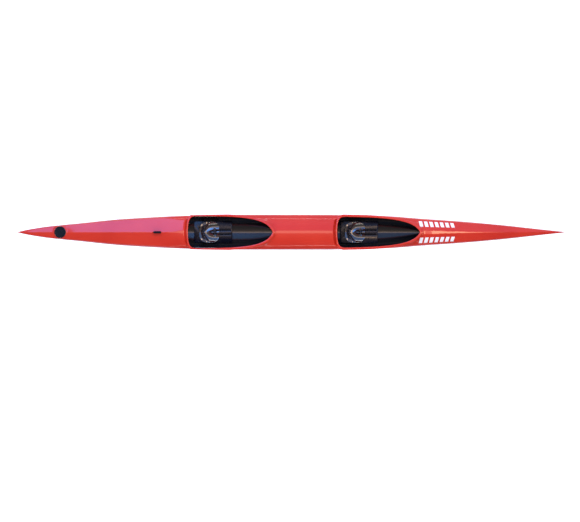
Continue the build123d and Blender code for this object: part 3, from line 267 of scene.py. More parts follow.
studio = {
    "scale": 6.867, "across": -0.0178, "down": -0.341, "height": 12.0, "farClip": 100.0,
    "floorDrop": 3.3, "floorSize": 260.0, "floorGlow": 0.42, "skyStrength": 0.85,
    "sky": [(0.0, (0.20, 0.19, 0.19)), (0.30, (0.30, 0.26, 0.24)), (0.47, (0.66, 0.50, 0.42)),
            (0.55, (0.38, 0.54, 1.10)), (0.75, (0.34, 0.54, 1.0)), (1.0, (0.50, 0.64, 1.0))],
    # place, aim, size, power, colour, and whether the gloss mirrors it
    "lights": {
        "overhead": ((0.0, 0.05, 6.0), (0, 0, 0), (7.0, 0.5), 30.0, (1.0, 0.72, 0.5), True),
        "portSoft": ((0.0, 5.5, 7.5), (0, 0, 0), (12.0, 6.0), 900.0, (1, 1, 1), False),
        "starboardSoft": ((0.0, -6.5, 6.5), (0, 0, 0), (12.0, 6.0), 430.0, (1, 1, 1), False),
        # a blue panel over the aft deck's port side, a warm one over the foredeck, and strips that glint in the seats
        "bluePanel": ((-2.25, 2.35, 6.0), (-2.25, 0, 0.2), (2.42, 4.1), 112.0, (0.11, 0.36, 1.0), True),
        "warmPanel": ((2.62, -0.25, 6.0), (2.62, 0, 0.2), (1.1, 0.8), 24.0, (1.0, 0.62, 0.35), True),
        "portGlint": ((0.0, 7.2, 5.6), (0, 0, 0.1), (7.0, 0.4), 50.0, (1.0, 0.98, 0.95), True),
        "starboardGlint": ((0.0, -7.2, 5.6), (0, 0, 0.1), (7.0, 0.4), 50.0, (1.0, 0.98, 0.95), True),
    },
}


def softBox(name, place, aim, size, power, colour, mirrored):
    light = bpy.data.lights.new(name, "AREA")
    light.shape = "RECTANGLE"
    light.size, light.size_y = size
    light.energy = power
    light.color = colour
    lamp = addObject(name, light)
    lamp.location = place
    lamp.rotation_euler = (Vector(aim) - Vector(place)).to_track_quat("-Z", "Y").to_euler()
    lamp.visible_camera = False
    lamp.visible_glossy = mirrored


def makeWorld():
    # a cool sky to port and a warmer, dimmer one to starboard, which the gloss picks up
    world = bpy.data.worlds.new("studioWorld")
    bpy.context.scene.world = world
    world.use_nodes = True
    tree = world.node_tree
    place = tree.nodes.new("ShaderNodeTexCoord")
    split = tree.nodes.new("ShaderNodeSeparateXYZ")
    tree.links.new(place.outputs["Generated"], split.inputs["Vector"])
    shift = tree.nodes.new("ShaderNodeMath")
    shift.operation = "MULTIPLY_ADD"
    shift.inputs[1].default_value = 0.5
    shift.inputs[2].default_value = 0.5
    tree.links.new(split.outputs["Y"], shift.inputs[0])
    sky = rampNode(tree, shift.outputs["Value"], studio["sky"])
    tree.links.new(sky, tree.nodes["Background"].inputs["Color"])
    tree.nodes["Background"].inputs["Strength"].default_value = studio["skyStrength"]


def makeCamera():
    camera = bpy.data.cameras.new("camera")
    camera.type = "ORTHO"
    camera.ortho_scale = studio["scale"]
    camera.clip_end = studio["farClip"]
    viewer = addObject("camera", camera)
    viewer.location = (studio["across"], studio["down"], studio["height"])
    bpy.context.scene.camera = viewer
    bpy.context.scene.view_settings.view_transform = "Standard"


def makeFloor():
    # glows a little, so that it stays pale far from the lights
    face = paleFloor.node_tree.nodes["Principled BSDF"]
    face.inputs["Emission Color"].default_value = (1.0, 1.0, 1.0, 1.0)
    face.inputs["Emission Strength"].default_value = studio["floorGlow"]
    low = cadBox[0].z - studio["floorDrop"]
    half = studio["floorSize"] / 2
    mesh = bpy.data.meshes.new("floor")
    mesh.from_pydata([(-half, -half, low), (half, -half, low), (half, half, low), (-half, half, low)], [],
                     [(0, 1, 2, 3)])
    floor = addObject("floor", mesh)
    floor.data.materials.append(paleFloor)


makeCamera()
makeFloor()
makeWorld()
for name, values in studio["lights"].items():
    softBox(name, *values)
print("studio made")


# hull and deck lines, as shares of the half length and of the half beam

lines = {
    "half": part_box("hull_shell")[1].x, "halfBeam": 0.207, "wall": 0.004,
    "seamMid": 0.196, "seamRise": 0.004, "deckGap": 0.0003,
    "plan": [(-1.0, 0.006), (-0.953, 0.165), (-0.88, 0.338), (-0.78, 0.497), (-0.625, 0.744), (-0.534, 0.836),
             (-0.43, 0.92), (-0.30, 0.975), (-0.15, 1.0), (0.12, 1.0), (0.25, 0.966), (0.36, 0.913), (0.45, 0.805),
             (0.614, 0.623), (0.76, 0.42), (0.905, 0.17), (1.0, 0.006)],
    "keel": [(-0.983, 0.106), (-0.91, 0.083), (-0.837, 0.065), (-0.764, 0.049), (-0.62, 0.031), (-0.473, 0.015),
             (-0.29, 0.002), (-0.2, 0.0), (0.62, 0.0), (0.765, 0.010), (0.911, 0.024), (0.965, 0.038)],
    "stemStart": 0.965, "sternStart": -0.978, "endClose": 0.97, "endTop": 0.9999,
    "fullness": 0.55, "vee": 0.25,
    "crown": [(-1.0, 0.005), (-0.983, 0.010), (-0.91, 0.017), (-0.837, 0.027), (-0.764, 0.043), (-0.62, 0.053),
              (-0.5, 0.064), (-0.38, 0.063), (-0.2, 0.072), (-0.037, 0.080), (0.11, 0.086), (0.20, 0.084),
              (0.28, 0.080), (0.4, 0.082), (0.51, 0.079), (0.55, 0.071), (0.62, 0.066), (0.76, 0.048),
              (0.91, 0.028), (0.98, 0.010), (1.0, 0.003)],
    "columns": [1.0, 0.995, 0.985, 0.97, 0.95, 0.925, 0.9, 0.875, 0.84, 0.8, 0.75, 0.69, 0.62, 0.55, 0.47, 0.39,
                0.31, 0.23, 0.19, 0.15, 0.10, 0.05, 0.0],
}
planOf = smoothCurve(lines["plan"])
keelOf = smoothCurve(lines["keel"])
crownOf = smoothCurve(lines["crown"])
ridgeShape = straightCurve([(0, 1.0), (0.45, 0.83), (0.86, 0.64), (0.90, 0.60), (0.95, 0.42), (0.985, 0.2),
                            (1.0, 0.0)])
foreSide = straightCurve([(0.0, 1.0), (0.84, 0.60), (0.92, 0.46), (0.975, 0.26), (1.0, 0.0)])


def seamHeight(x):
    return lines["seamMid"] - lines["seamRise"] * x


def halfBreadth(x):
    return lines["halfBeam"] * planOf(x / lines["half"])


def keelHeight(x):
    u = x / lines["half"]
    for start, end in ((lines["stemStart"], 1.0), (lines["sternStart"], -1.0)):
        s = (u - start) / (end - start)
        if s > 0:
            low = keelOf(start)
            curve = 1 - math.sqrt(1 - min(s, lines["endTop"]) ** 2)
            return low + (seamHeight(x) - low) * curve * lines["endClose"]
    return keelOf(u)


def hullPoles(x):
    b, top, low = halfBreadth(x), seamHeight(x), keelHeight(x)
    full = lines["fullness"]
    vee = lines["vee"] * min(abs(x) / lines["half"], 1.0) ** 2
    return [(b, top), (b, top - full * (top - low)), ((full - vee) * b, low), (0.0, low)]


wellForm = {"aftFullness": 0.8, "cornerLead": 0.025, "tipSpread": 1.9}


class Well:
    # one cockpit: a round aft end, long sides and a point forward

    def __init__(self, sizes):
        self.__dict__.update(sizes)
        self.rimHeight = smoothCurve(self.rim)

    def poles(self, growAft, growSide, growTip):
        aft, tip, half = self.aft - growAft, self.tip + growTip, self.half + growSide
        corner = self.aft + self.corner
        lead = aft + wellForm["cornerLead"]
        return ([(aft, 0), (aft, wellForm["aftFullness"] * half), (lead, half), (corner, half)],
                [(corner, half), (self.shoulder, self.shoulderHalf + growSide),
                 (tip - self.nose, self.noseHalf + growSide), (tip, 0)])

    def halfWidth(self, x, grow):
        aftPart, forePart = self.poles(grow, grow, grow * wellForm["tipSpread"])
        if x <= aftPart[0][0] or x >= forePart[3][0]:
            return 0.0
        part = aftPart if x < aftPart[3][0] else forePart
        return bezierPoint(part, bezierSolve(part, x, 0))[1]

    def aftEdge(self, y, grow):
        part = self.poles(grow, grow, grow)[0]
        return bezierPoint(part, bezierSolve(part, min(abs(y), part[3][1]), 1))[0]


wells = {
    "rear": Well({"aft": -1.227, "tip": -0.224, "half": 0.188, "corner": 0.095, "nose": 0.066, "shoulder": -0.550,
                  "shoulderHalf": 0.190, "noseHalf": 0.165, "scoop": 0.012, "lips": (0.018, 0.029, 0.034),
                  "rim": [(-1.245, 0.281), (-1.190, 0.275), (-1.090, 0.271), (-0.700, 0.271), (-0.450, 0.280),
                          (-0.300, 0.294), (-0.190, 0.307)]}),
    "front": Well({"aft": 0.541, "tip": 1.520, "half": 0.182, "corner": 0.095, "nose": 0.066, "shoulder": 1.122,
                   "shoulderHalf": 0.174, "noseHalf": 0.150, "scoop": 0.030, "lips": (0.018, 0.029, 0.034),
                   "rim": [(0.510, 0.278), (0.570, 0.270), (0.700, 0.263), (1.080, 0.264), (1.300, 0.278),
                           (1.420, 0.291), (1.554, 0.307)]}),
}
hatch = {"x": -2.740, "top": 0.236, "tilt": math.radians(-2.0), "pad": (0.076, 0.088), "hole": 0.0598}
scoopForm = {"reach": 0.052, "floor": 0.018, "fadeFrom": 0.120, "fadeTo": 0.172, "search": 0.25, "rim": 0.004,
             "crest": 0.004, "crestReach": 0.016, "crestAway": 0.030, "crestAft": 0.16, "crestFull": 0.06,
             "crestFore": 0.09}
deckForm = {"ridgeEnds": (-1.56, -1.28), "facetsFrom": (1.44, 1.66), "tubePower": 2.2, "strip": 0.19,
            "stripEnd": 2.59, "stripFade": 1.06, "dipFade": 0.12, "padFade": 0.05, "opening": 0.0043,
            "clear": 0.004, "sharp": math.radians(22), "aftRows": (0.10, 26), "tipRows": (0.22, 30),
            "behind": (0.005, 19), "ahead": (0.006, 15), "padRows": (0.005, 19)}
skinForm = {"stations": 220, "endRows": 24, "bowReach": 0.13, "sternReach": 0.10, "arc": 28, "endWall": 0.25,
            "leastWall": 0.03}


def deckShape(x, t):
    # share of the crown at t, from 0 on the centreline to 1 at the seam
    form = deckForm
    ridge = 1 - easeStep(*form["ridgeEnds"], x)
    fore = easeStep(*form["facetsFrom"], x)
    tube = max(1 - t ** form["tubePower"], 0.0) ** 0.5
    strip = form["strip"] * min(max((form["stripEnd"] - x) / form["stripFade"], 0.0), 1.0)
    front = 1.0 if t < strip else foreSide((t - strip) / (1 - strip))
    return ridge * ridgeShape(t) + fore * front + (1 - ridge - fore) * tube


def deckDip(x, y):
    # the scoop behind each coaming, and the low crest round its front point
    form = scoopForm
    dip = 0.0
    for well in wells.values():
        gap = well.aftEdge(y, form["rim"]) - x
        if -form["search"] < gap < form["reach"]:
            fade = 1 - easeStep(form["fadeFrom"], form["fadeTo"], abs(y))
            dip -= well.scoop * fade * (1 - easeStep(form["floor"], form["reach"], gap))
        if well.tip - form["crestAft"] < x < well.tip + form["crestFore"]:
            away = abs(y) - well.halfWidth(min(x, well.tip), form["rim"])
            past = max(x - well.tip, 0.0)
            distance = math.hypot(max(away, 0.0), past) - form["crestAway"]
            lift = math.exp(-(distance / form["crestReach"]) ** 2)
            dip += form["crest"] * lift * easeStep(well.tip - form["crestAft"], well.tip - form["crestFull"], x)
    return dip


def deckHeight(x, y):
    b = halfBreadth(x)
    t = min(abs(y) / b, 1.0)
    base = seamHeight(x) + lines["deckGap"]
    rise = crownOf(x / lines["half"])
    height = base + rise * deckShape(x, t) + deckDip(x, y) * min(1.0, (1 - t) / deckForm["dipFade"])
    away = math.hypot(x - hatch["x"], y)
    if away < hatch["pad"][1]:
        # flat platform under the stern hatch
        flat = hatch["top"] - math.tan(hatch["tilt"]) * (x - hatch["x"])
        share = (1 - easeStep(*hatch["pad"], away)) * min(1.0, (1 - t) / deckForm["padFade"])
        height += (flat - height) * share
    return height


def meshPiece(name, verts, faces, materials, smooth=True, merge=1e-6):
    # a plain mesh with doubled points joined, unless merge is 0
    mesh = bpy.data.meshes.new(name)
    mesh.from_pydata(verts, [], faces)
    work = bmesh.new()
    work.from_mesh(mesh)
    if merge:
        bmesh.ops.remove_doubles(work, verts=work.verts, dist=merge)
        bmesh.ops.dissolve_degenerate(work, edges=work.edges, dist=1e-7)
    work.to_mesh(mesh)
    work.free()
    for material in materials:
        mesh.materials.append(material)
    if smooth:
        mesh.polygons.foreach_set("use_smooth", [True] * len(mesh.polygons))
    return addObject(name, mesh)


def facePiece(piece, way=None):
    # faces point out of a closed piece; an open skin is turned so that they look the given way on average
    work = bmesh.new()
    work.from_mesh(piece.data)
    bmesh.ops.recalc_face_normals(work, faces=work.faces)
    if way:
        total = Vector((0, 0, 0))
        for face in work.faces:
            total += face.normal * face.calc_area()
        if total.dot(way) < 0:
            bmesh.ops.reverse_faces(work, faces=work.faces)
    work.to_mesh(piece.data)
    work.free()


def addSkin(piece, thickness, offset=-1.0):
    skin = piece.modifiers.new("skin", "SOLIDIFY")
    skin.thickness = thickness
    skin.offset = offset


def gridFaces(rows, wide, closed=False):
    # faces between rows of points; closed joins the last point of a row to its first
    return [(k * wide + j, k * wide + (j + 1) % wide, (k + 1) * wide + (j + 1) % wide, (k + 1) * wide + j)
            for k in range(rows - 1) for j in range(wide if closed else wide - 1)]


def setThickness(piece):
    # an inner skin of the second material, which thins out where the boat's ends are solid
    wall = lines["wall"]
    group = piece.vertex_groups.new(name="wall")
    for v in piece.data.vertices:
        share = skinForm["endWall"] * halfBreadth(v.co.x) / wall
        group.add([v.index], min(1.0, max(skinForm["leastWall"], share)), "REPLACE")
    solid = piece.modifiers.new("wall", "SOLIDIFY")
    solid.thickness = wall
    solid.offset = -1.0
    solid.vertex_group = "wall"
    solid.material_offset = 1
    solid.material_offset_rim = 0


def markSharp(piece, angle):
    bpy.context.view_layer.objects.active = piece
    piece.select_set(True)
    bpy.ops.object.shade_smooth_by_angle(angle=angle)
    piece.select_set(False)


def settle(piece, body, slot, *replaced):
    if replaced:
        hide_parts(*replaced)
    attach(piece, body)


def hullStations():
    # even along the boat and closer together towards both ends
    half, count, rows = lines["half"], skinForm["stations"], skinForm["endRows"]
    stations = {round(-half + 2 * half * k / count, 5) for k in range(count + 1)}
    for k in range(rows):
        stations |= {round(half - skinForm["bowReach"] * (k / rows) ** 2, 5),
                     round(-half + skinForm["sternReach"] * (k / rows) ** 2, 5)}
    return sorted(stations)


def makeHull():
    stations = hullStations()
    arc = skinForm["arc"]
    rows = []
    for x in stations:
        poles = hullPoles(x)
        port = [bezierPoint(poles, k / arc) for k in range(arc + 1)]
        rows.append([(x, y, z) for y, z in port] + [(x, -y, z) for y, z in port[-2::-1]])
    verts = [p for row in rows for p in row]
    width = len(rows[0])
    faces = gridFaces(len(rows), width)
    faces.append(tuple(range(width)))
    faces.append(tuple((len(rows) - 1) * width + j for j in range(width - 1, -1, -1)))
    hull = meshPiece("hullSkin", verts, faces, [whiteGelcoat, blackInside])
    facePiece(hull, Vector((0, 0, -1)))
    setThickness(hull)
    settle(hull, "boat", "hull_gelcoat", "hull_shell")


def deckStations():
    # the hull's, and many more round each opening and under the hatch
    form = deckForm
    stations = set(hullStations())
    gap, clear = form["opening"], form["clear"]
    (aftReach, aftRows), (tipReach, tipRows) = form["aftRows"], form["tipRows"]
    (aftStep, behind), (tipStep, ahead), (padStep, padRows) = form["behind"], form["ahead"], form["padRows"]
    for well in wells.values():
        start, end = well.aft - gap, well.tip + gap * wellForm["tipSpread"]
        stations = {x for x in stations if abs(x - start) >= clear and abs(x - end) >= clear}
        stations |= {round(start + aftReach * (k / aftRows) ** 2, 6) for k in range(aftRows + 1)}
        stations |= {round(end - tipReach * (k / tipRows) ** 2, 6) for k in range(tipRows + 1)}
        stations |= {round(start - aftStep * k, 6) for k in range(1, behind + 1)}
        stations |= {round(end + tipStep * k, 6) for k in range(1, ahead + 1)}
    stations |= {round(hatch["x"] + padStep * k, 6) for k in range(-padRows, padRows + 1)}
    return sorted(stations)


def makeDeck():
    rows = []
    for x in deckStations():
        b = halfBreadth(x)
        opening = max(well.halfWidth(x, deckForm["opening"]) for well in wells.values()) / b
        ys = [b * (1 - (1 - t) * (1 - opening)) for t in lines["columns"]]
        rows.append([(x, y, deckHeight(x, y)) for y in ys])
    verts = [p for row in rows for p in row] + [(x, -y, z) for row in rows for x, y, z in row]
    width = len(rows[0])
    mirrorFrom = len(rows) * width
    faces = []
    for i in range(len(rows) - 1):
        for j in range(width - 1):
            a = i * width + j
            faces.append((a, a + width, a + width + 1, a + 1))
            c = a + mirrorFrom
            faces.append((c, c + 1, c + width + 1, c + width))
    last = (len(rows) - 1) * width
    for start in (0, last):
        around = [start + j for j in range(width)] + [mirrorFrom + start + j for j in range(width - 2, -1, -1)]
        faces.append(tuple(around if start else around[::-1]))
    faces = [f for f in faces if len(f) > 4 or min(
        math.hypot(verts[v][0] - hatch["x"], verts[v][1]) for v in f) > hatch["hole"]]
    deck = meshPiece("deckSkin", verts, faces, [redGelcoat, blackInside], merge=1e-5)
    facePiece(deck, Vector((0, 0, 1)))
    setThickness(deck)
    markSharp(deck, deckForm["sharp"])
    settle(deck, "boat", "deck_gelcoat", "deck_shell")


makeHull()
makeDeck()
print("hull and deck made")


coamingForm = {"wall": 0.004, "skirt": 0.012, "lipThick": 0.0045, "droop": 0.002, "steps": 64, "turn": 5,
               "overhang": 0.006, "below": 0.0006, "roll": 0.006, "rollShare": 0.9, "edgeRound": 0.0025,
               "pointFrom": 0.72, "pointShare": 0.9, "sunk": 0.003, "sharp": math.radians(50),
               "lipTop": [(0.35, 0.0004), (0.8, -0.0006)],
               "lipUnder": [(0.5, 0.0006), (0.1, 0.001), (0.0, 0.004)]}


def makeCoaming(place):
    # a wall round the opening that rolls outwards into a lip, with a solid point forward
    well = wells[place]
    form = coamingForm
    lipAft, lipSide, lipTip = well.lips
    inner = well.poles(0, 0, 0)
    outer = well.poles(form["wall"], form["wall"], form["wall"] * wellForm["tipSpread"])
    lip = well.poles(lipAft, lipSide, lipTip)
    count = form["steps"]
    rings = []
    for side in (1, -1):
        marks = [(0, k / count) for k in range(count)] + [(1, k / count) for k in range(count + 1)]
        if side < 0:
            marks = marks[-2:0:-1]
        for part, t in marks:
            a, b, c = (bezierPoint(poles[part], t) for poles in (inner, outer, lip))
            c = (c[0], min(c[1], max(halfBreadth(c[0]) + form["overhang"], b[1])))
            top = well.rimHeight(c[0] if part == 0 else a[0] + (c[0] - a[0]) * t)
            top = min(top, cadBox[1].z - form["below"])
            low = deckHeight(b[0], b[1]) - form["skirt"]
            point = easeStep(form["pointFrom"], 1.0, t) if part == 1 else 0.0
            under = tuple(b[k] + (c[k] - b[k]) * form["pointShare"] * point for k in (0, 1))
            underLow = low + (deckHeight(under[0], under[1]) - form["sunk"] - low) * point
            edge = top - form["droop"]
            thick = form["lipThick"]
            roll = form["roll"]
            ring = [(a, low), (a, top - roll)]
            for k in range(1, form["turn"]):
                turn = math.pi / 2 * k / form["turn"]
                ring.append((mix(a, b, form["rollShare"] * (1 - math.cos(turn))), top - roll + roll * math.sin(turn)))
            ring += [(mix(a, c, share), top + rise) for share, rise in form["lipTop"]]
            for k in range(form["turn"] + 1):
                turn = math.pi * k / form["turn"]
                out = mix(c, a, form["edgeRound"] * (1 - math.sin(turn)) / max(math.dist(a, c), 1e-6))
                ring.append((out, edge - thick / 2 + thick / 2 * math.cos(turn)))
            ring += [(mix(under, c, share), edge - thick - drop) for share, drop in form["lipUnder"]]
            ring.append((under, underLow))
            rings.append([(p[0], side * p[1], z) for p, z in ring])
    verts = [p for ring in rings for p in ring]
    width = len(rings[0])
    faces = []
    for i in range(len(rings)):
        for j in range(width):
            a = i * width + j
            b = i * width + (j + 1) % width
            c = ((i + 1) % len(rings)) * width + (j + 1) % width
            d = ((i + 1) % len(rings)) * width + j
            faces.append((a, b, c, d))
    coaming = meshPiece("coaming_" + place + "_rim", verts, faces, [redGelcoat], merge=1e-5)
    facePiece(coaming, Vector((0, 0, 1)))
    markSharp(coaming, form["sharp"])
    settle(coaming, "boat", "deck_gelcoat", "coaming_" + place)


for place in wells:
    makeCoaming(place)
print("coamings made")


# Geometry Nodes helpers

def startTree(name, inputs):
    tree = bpy.data.node_groups.new(name, "GeometryNodeTree")
    tree.interface.new_socket("Geometry", in_out="INPUT", socket_type="NodeSocketGeometry")
    for label, kind, value in inputs:
        socket = tree.interface.new_socket(label, in_out="INPUT", socket_type=kind)
        if value is not None:
            socket.default_value = value
    tree.interface.new_socket("Geometry", in_out="OUTPUT", socket_type="NodeSocketGeometry")
    return tree, tree.nodes.new("NodeGroupInput"), tree.nodes.new("NodeGroupOutput")


def addNode(tree, kind, values=None, links=None, **settings):
    node = tree.nodes.new(kind)
    for key, value in settings.items():
        setattr(node, key, value)
    for key, value in (values or {}).items():
        node.inputs[key].default_value = value
    for key, source in (links or {}).items():
        tree.links.new(source, node.inputs[key])
    return node


def closeTree(tree, last, start, end):
    real = addNode(tree, "GeometryNodeRealizeInstances", links={"Geometry": last})
    paint = addNode(tree, "GeometryNodeSetMaterial", links={"Geometry": real.outputs[0],
                                                            "Material": start.outputs["Material"]})
    tree.links.new(paint.outputs[0], end.inputs[0])


def grow(name, tree, values, material, base=None, place=None):
    # runs a tree on a base mesh and keeps the result as a plain piece
    holder = addObject(name + "Base", base or bpy.data.meshes.new(name + "Base"))
    modifier = holder.modifiers.new("grow", "NODES")
    modifier.node_group = tree
    sockets = {s.name: s.identifier for s in tree.interface.items_tree if s.in_out == "INPUT"}
    for label, value in values.items():
        modifier[sockets[label]] = value
    modifier[sockets["Material"]] = material
    bpy.context.view_layer.update()
    graph = bpy.context.evaluated_depsgraph_get()
    mesh = bpy.data.meshes.new_from_object(holder.evaluated_get(graph))
    mesh.name = name
    bpy.data.objects.remove(holder)
    if place:
        mesh.transform(place)
    return addObject(name, mesh)


# strip over the joint of hull and deck

trim = {"height": 0.008, "proud": 0.0014, "sides": 14, "endGap": 0.040, "points": 240}


def makeStrip():
    tree, start, end = startTree("stripTree", [
        ("Height", "NodeSocketFloat", 0.008), ("Proud", "NodeSocketFloat", 0.001), ("Sides", "NodeSocketInt", 12),
        ("Material", "NodeSocketMaterial", None)])
    path = addNode(tree, "GeometryNodeMeshToCurve", links={"Mesh": start.outputs["Geometry"]})
    upright = addNode(tree, "GeometryNodeSetCurveNormal", links={"Curve": path.outputs[0]}, mode="Z_UP")
    half = addNode(tree, "ShaderNodeMath", links={0: start.outputs["Height"]}, values={1: 0.5}, operation="MULTIPLY")
    oval = addNode(tree, "GeometryNodeCurvePrimitiveCircle", values={"Radius": 1.0},
                   links={"Resolution": start.outputs["Sides"]})
    size = addNode(tree, "ShaderNodeCombineXYZ", values={"Z": 1.0},
                   links={"X": start.outputs["Proud"], "Y": half.outputs[0]})
    flat = addNode(tree, "GeometryNodeTransform", links={"Geometry": oval.outputs["Curve"], "Scale": size.outputs[0]})
    swept = addNode(tree, "GeometryNodeCurveToMesh", values={"Fill Caps": True},
                    links={"Curve": upright.outputs[0], "Profile Curve": flat.outputs[0]})
    smooth = addNode(tree, "GeometryNodeSetShadeSmooth", links={"Geometry": swept.outputs[0]})
    closeTree(tree, smooth.outputs[0], start, end)
    reach = lines["half"] - trim["endGap"]
    verts = []
    edges = []
    for side in (1, -1):
        first = len(verts)
        for k in range(trim["points"] + 1):
            x = -reach + 2 * reach * k / trim["points"]
            verts.append((x, side * halfBreadth(x), seamHeight(x)))
        edges += [(first + k, first + k + 1) for k in range(trim["points"])]
    base = bpy.data.meshes.new("seamPath")
    base.from_pydata(verts, edges, [])
    strip = grow("seamStrip", tree, {"Height": trim["height"], "Proud": trim["proud"], "Sides": trim["sides"]},
                 whiteTrim, base)
    settle(strip, "boat", "seam_white", "seam_trim")


makeStrip()
print("seam strip made")


# seats

seatForm = {"reach": 0.120, "half": 0.125, "base": 0.0603, "rings": 34, "around": 112, "corner": 3.0,
            "side": 0.042, "back": 0.078, "grooveAt": 0.058, "grooveFloor": 0.016, "grooveRound": 0.150,
            "boss": 0.0122, "bossRadius": 0.0135, "boltX": 0.065, "boltY": 0.025, "lip": 0.0035,
            "bossBlend": 0.009, "ahead": (-0.045, 0.035), "splay": 0.05, "bowlDrop": 0.003, "bowlSide": 0.028,
            "bowlHalf": 0.112, "ridge": 0.004, "ridgeHalf": 0.020, "backFrom": (0.010, 0.112), "backBend": 0.35,
            "backHalf": 0.09, "backLead": 0.02, "backDrop": 0.020, "spine": 0.006, "spineHalf": 0.016,
            "spineFrom": (0.02, 0.08), "tallFrom": (0.025, 0.095), "edge": 0.955, "edgeOut": 0.045, "edgeSteps": 5,
            "edgeRise": 0.6, "turnDown": 0.012, "thinUnder": 0.018, "thinEdge": 0.004, "lowest": 0.0015,
            "skin": 0.0038}
seatPlaces = {"rear": -0.972, "front": 0.752}


def seatHeight(dx, dy):
    # height over the base: two thigh grooves with a ridge between, a bowl behind and a raised back
    form = seatForm
    side = abs(dy)
    ahead = easeStep(*form["ahead"], dx)
    outside = side - form["grooveAt"] - form["splay"] * max(dx, 0)
    groove = form["grooveFloor"] + outside ** 2 / form["grooveRound"]
    bowl = form["grooveFloor"] - form["bowlDrop"] + form["bowlSide"] * (side / form["bowlHalf"]) ** 2.6
    bowl += form["ridge"] * math.exp(-(dy / form["ridgeHalf"]) ** 2)
    height = bowl + (groove - bowl) * ahead
    bend = form["backBend"] * max(form["backHalf"] - side, 0)
    behind = easeStep(*form["backFrom"], -dx - bend + form["backLead"])
    height += (form["back"] - form["backDrop"]) * behind ** 1.5
    height -= form["spine"] * math.exp(-(dy / form["spineHalf"]) ** 2) * easeStep(*form["spineFrom"], -dx)
    limit = form["side"] + (form["back"] - form["side"]) * easeStep(*form["tallFrom"], -dx)
    height = min(height, limit)
    for bx in (-form["boltX"], form["boltX"]):
        away = math.hypot(dx - bx, side - form["boltY"])
        sink = 1 - easeStep(form["bossRadius"], form["bossRadius"] + form["bossBlend"], away)
        height += (form["boss"] - height) * sink
    return height


def makeSeat(place):
    form = seatForm
    middle = seatPlaces[place]
    rows = []
    power = 2 / form["corner"]
    turns = form["edgeSteps"]
    for k in range(form["rings"] + turns + 2):
        share = min(k / form["rings"], 1.0)
        past = max(k - form["rings"], 0)
        row = []
        for j in range(form["around"]):
            turn = 2 * math.pi * j / form["around"]
            cx = math.copysign(abs(math.cos(turn)) ** power, math.cos(turn))
            cy = math.copysign(abs(math.sin(turn)) ** power, math.sin(turn))
            inner = share * form["edge"]
            dx, dy = form["reach"] * inner * cx, form["half"] * inner * cy
            height = seatHeight(dx, dy)
            if past:
                # the edge rolls over and turns down
                roll = min(past, turns) / turns * math.pi / 2
                out = form["edge"] + form["edgeOut"] * math.sin(roll)
                dx, dy = form["reach"] * out * cx, form["half"] * out * cy
                height += form["lip"] * (math.sin(2 * roll) * form["edgeRise"] - (1 - math.cos(roll)))
                if past > turns:
                    height = height - form["turnDown"] if height > form["thinUnder"] else form["thinEdge"]
            row.append((middle + dx, dy, form["base"] + max(height, form["lowest"])))
        rows.append(row)
    verts = [p for row in rows for p in row]
    faces = gridFaces(len(rows), form["around"], True)
    seat = meshPiece("seat_" + place + "_bucket", verts, faces, [seatGloss])
    facePiece(seat, Vector((0, 0, 1)))
    addSkin(seat, form["skin"])
    settle(seat, place + "_seat", "black_laminate", "seat_" + place)


# stern hatch

hatchForm = {"ring": [(0.0540, -0.030), (0.0590, -0.030), (0.0590, 0.0), (0.0695, 0.0), (0.0695, 0.0022),
                      (0.0690, 0.0032), (0.0680, 0.0038), (0.0665, 0.0040), (0.0560, 0.0040), (0.0548, 0.0036),
                      (0.0540, 0.0028)],
             "lid": [(0.0, -0.0100), (0.0500, -0.0100), (0.0512, -0.0094), (0.0515, -0.0080), (0.0515, 0.0043),
                     (0.0612, 0.0043), (0.0622, 0.0048), (0.0625, 0.0058), (0.0625, 0.0098), (0.0621, 0.0112),
                     (0.0612, 0.0120), (0.0600, 0.0123), (0.0572, 0.0123), (0.0562, 0.0121), (0.0554, 0.0114),
                     (0.0548, 0.0100), (0.0540, 0.0088), (0.0525, 0.0083), (0.0400, 0.0083), (0.0397, 0.0086),
                     (0.0385, 0.0087), (0.0373, 0.0086), (0.0370, 0.0083), (0.0240, 0.0083), (0.0237, 0.0086),
                     (0.0225, 0.0087), (0.0213, 0.0086), (0.0210, 0.0083), (0.0, 0.0083)],
             "steps": 96, "ribWide": 0.009, "ribReach": 0.0570, "ribLow": 0.0080, "ribHigh": 0.0123,
             "screws": 6, "screwReach": 0.0660, "screwHead": 0.0026,
             "screwSeat": 0.0040, "ribEdge": 0.0012, "ribTurns": (45, 135), "sharp": math.radians(40)}
hatchPlace = (Matrix.Translation((hatch["x"], 0, hatch["top"])) @ Matrix.Rotation(hatch["tilt"], 4, "Y"))


def lathe(name, profile, steps, materials, closed, place):
    # turns a profile of radius and height pairs about the upright axis
    verts = []
    faces = []
    for k in range(steps):
        turn = 2 * math.pi * k / steps
        verts += [(r * math.cos(turn), r * math.sin(turn), z) for r, z in profile]
    tall = len(profile)
    for k in range(steps):
        for j in range(tall if closed else tall - 1):
            a = k * tall + j
            b = k * tall + (j + 1) % tall
            faces.append((a, b, (b + tall) % len(verts), (a + tall) % len(verts)))
    piece = meshPiece(name, [place @ Vector(v) for v in verts], faces, materials)
    facePiece(piece)
    return piece


def boxPiece(name, low, high, material, bevel, place):
    corners = [(x, y, z) for x in (low[0], high[0]) for y in (low[1], high[1]) for z in (low[2], high[2])]
    faces = [(0, 1, 3, 2), (4, 6, 7, 5), (0, 4, 5, 1), (2, 3, 7, 6), (0, 2, 6, 4), (1, 5, 7, 3)]
    piece = meshPiece(name, [place @ Vector(c) for c in corners], faces, [material], smooth=False)
    facePiece(piece)
    edge = piece.modifiers.new("edge", "BEVEL")
    edge.width = bevel
    edge.segments = 3
    return piece


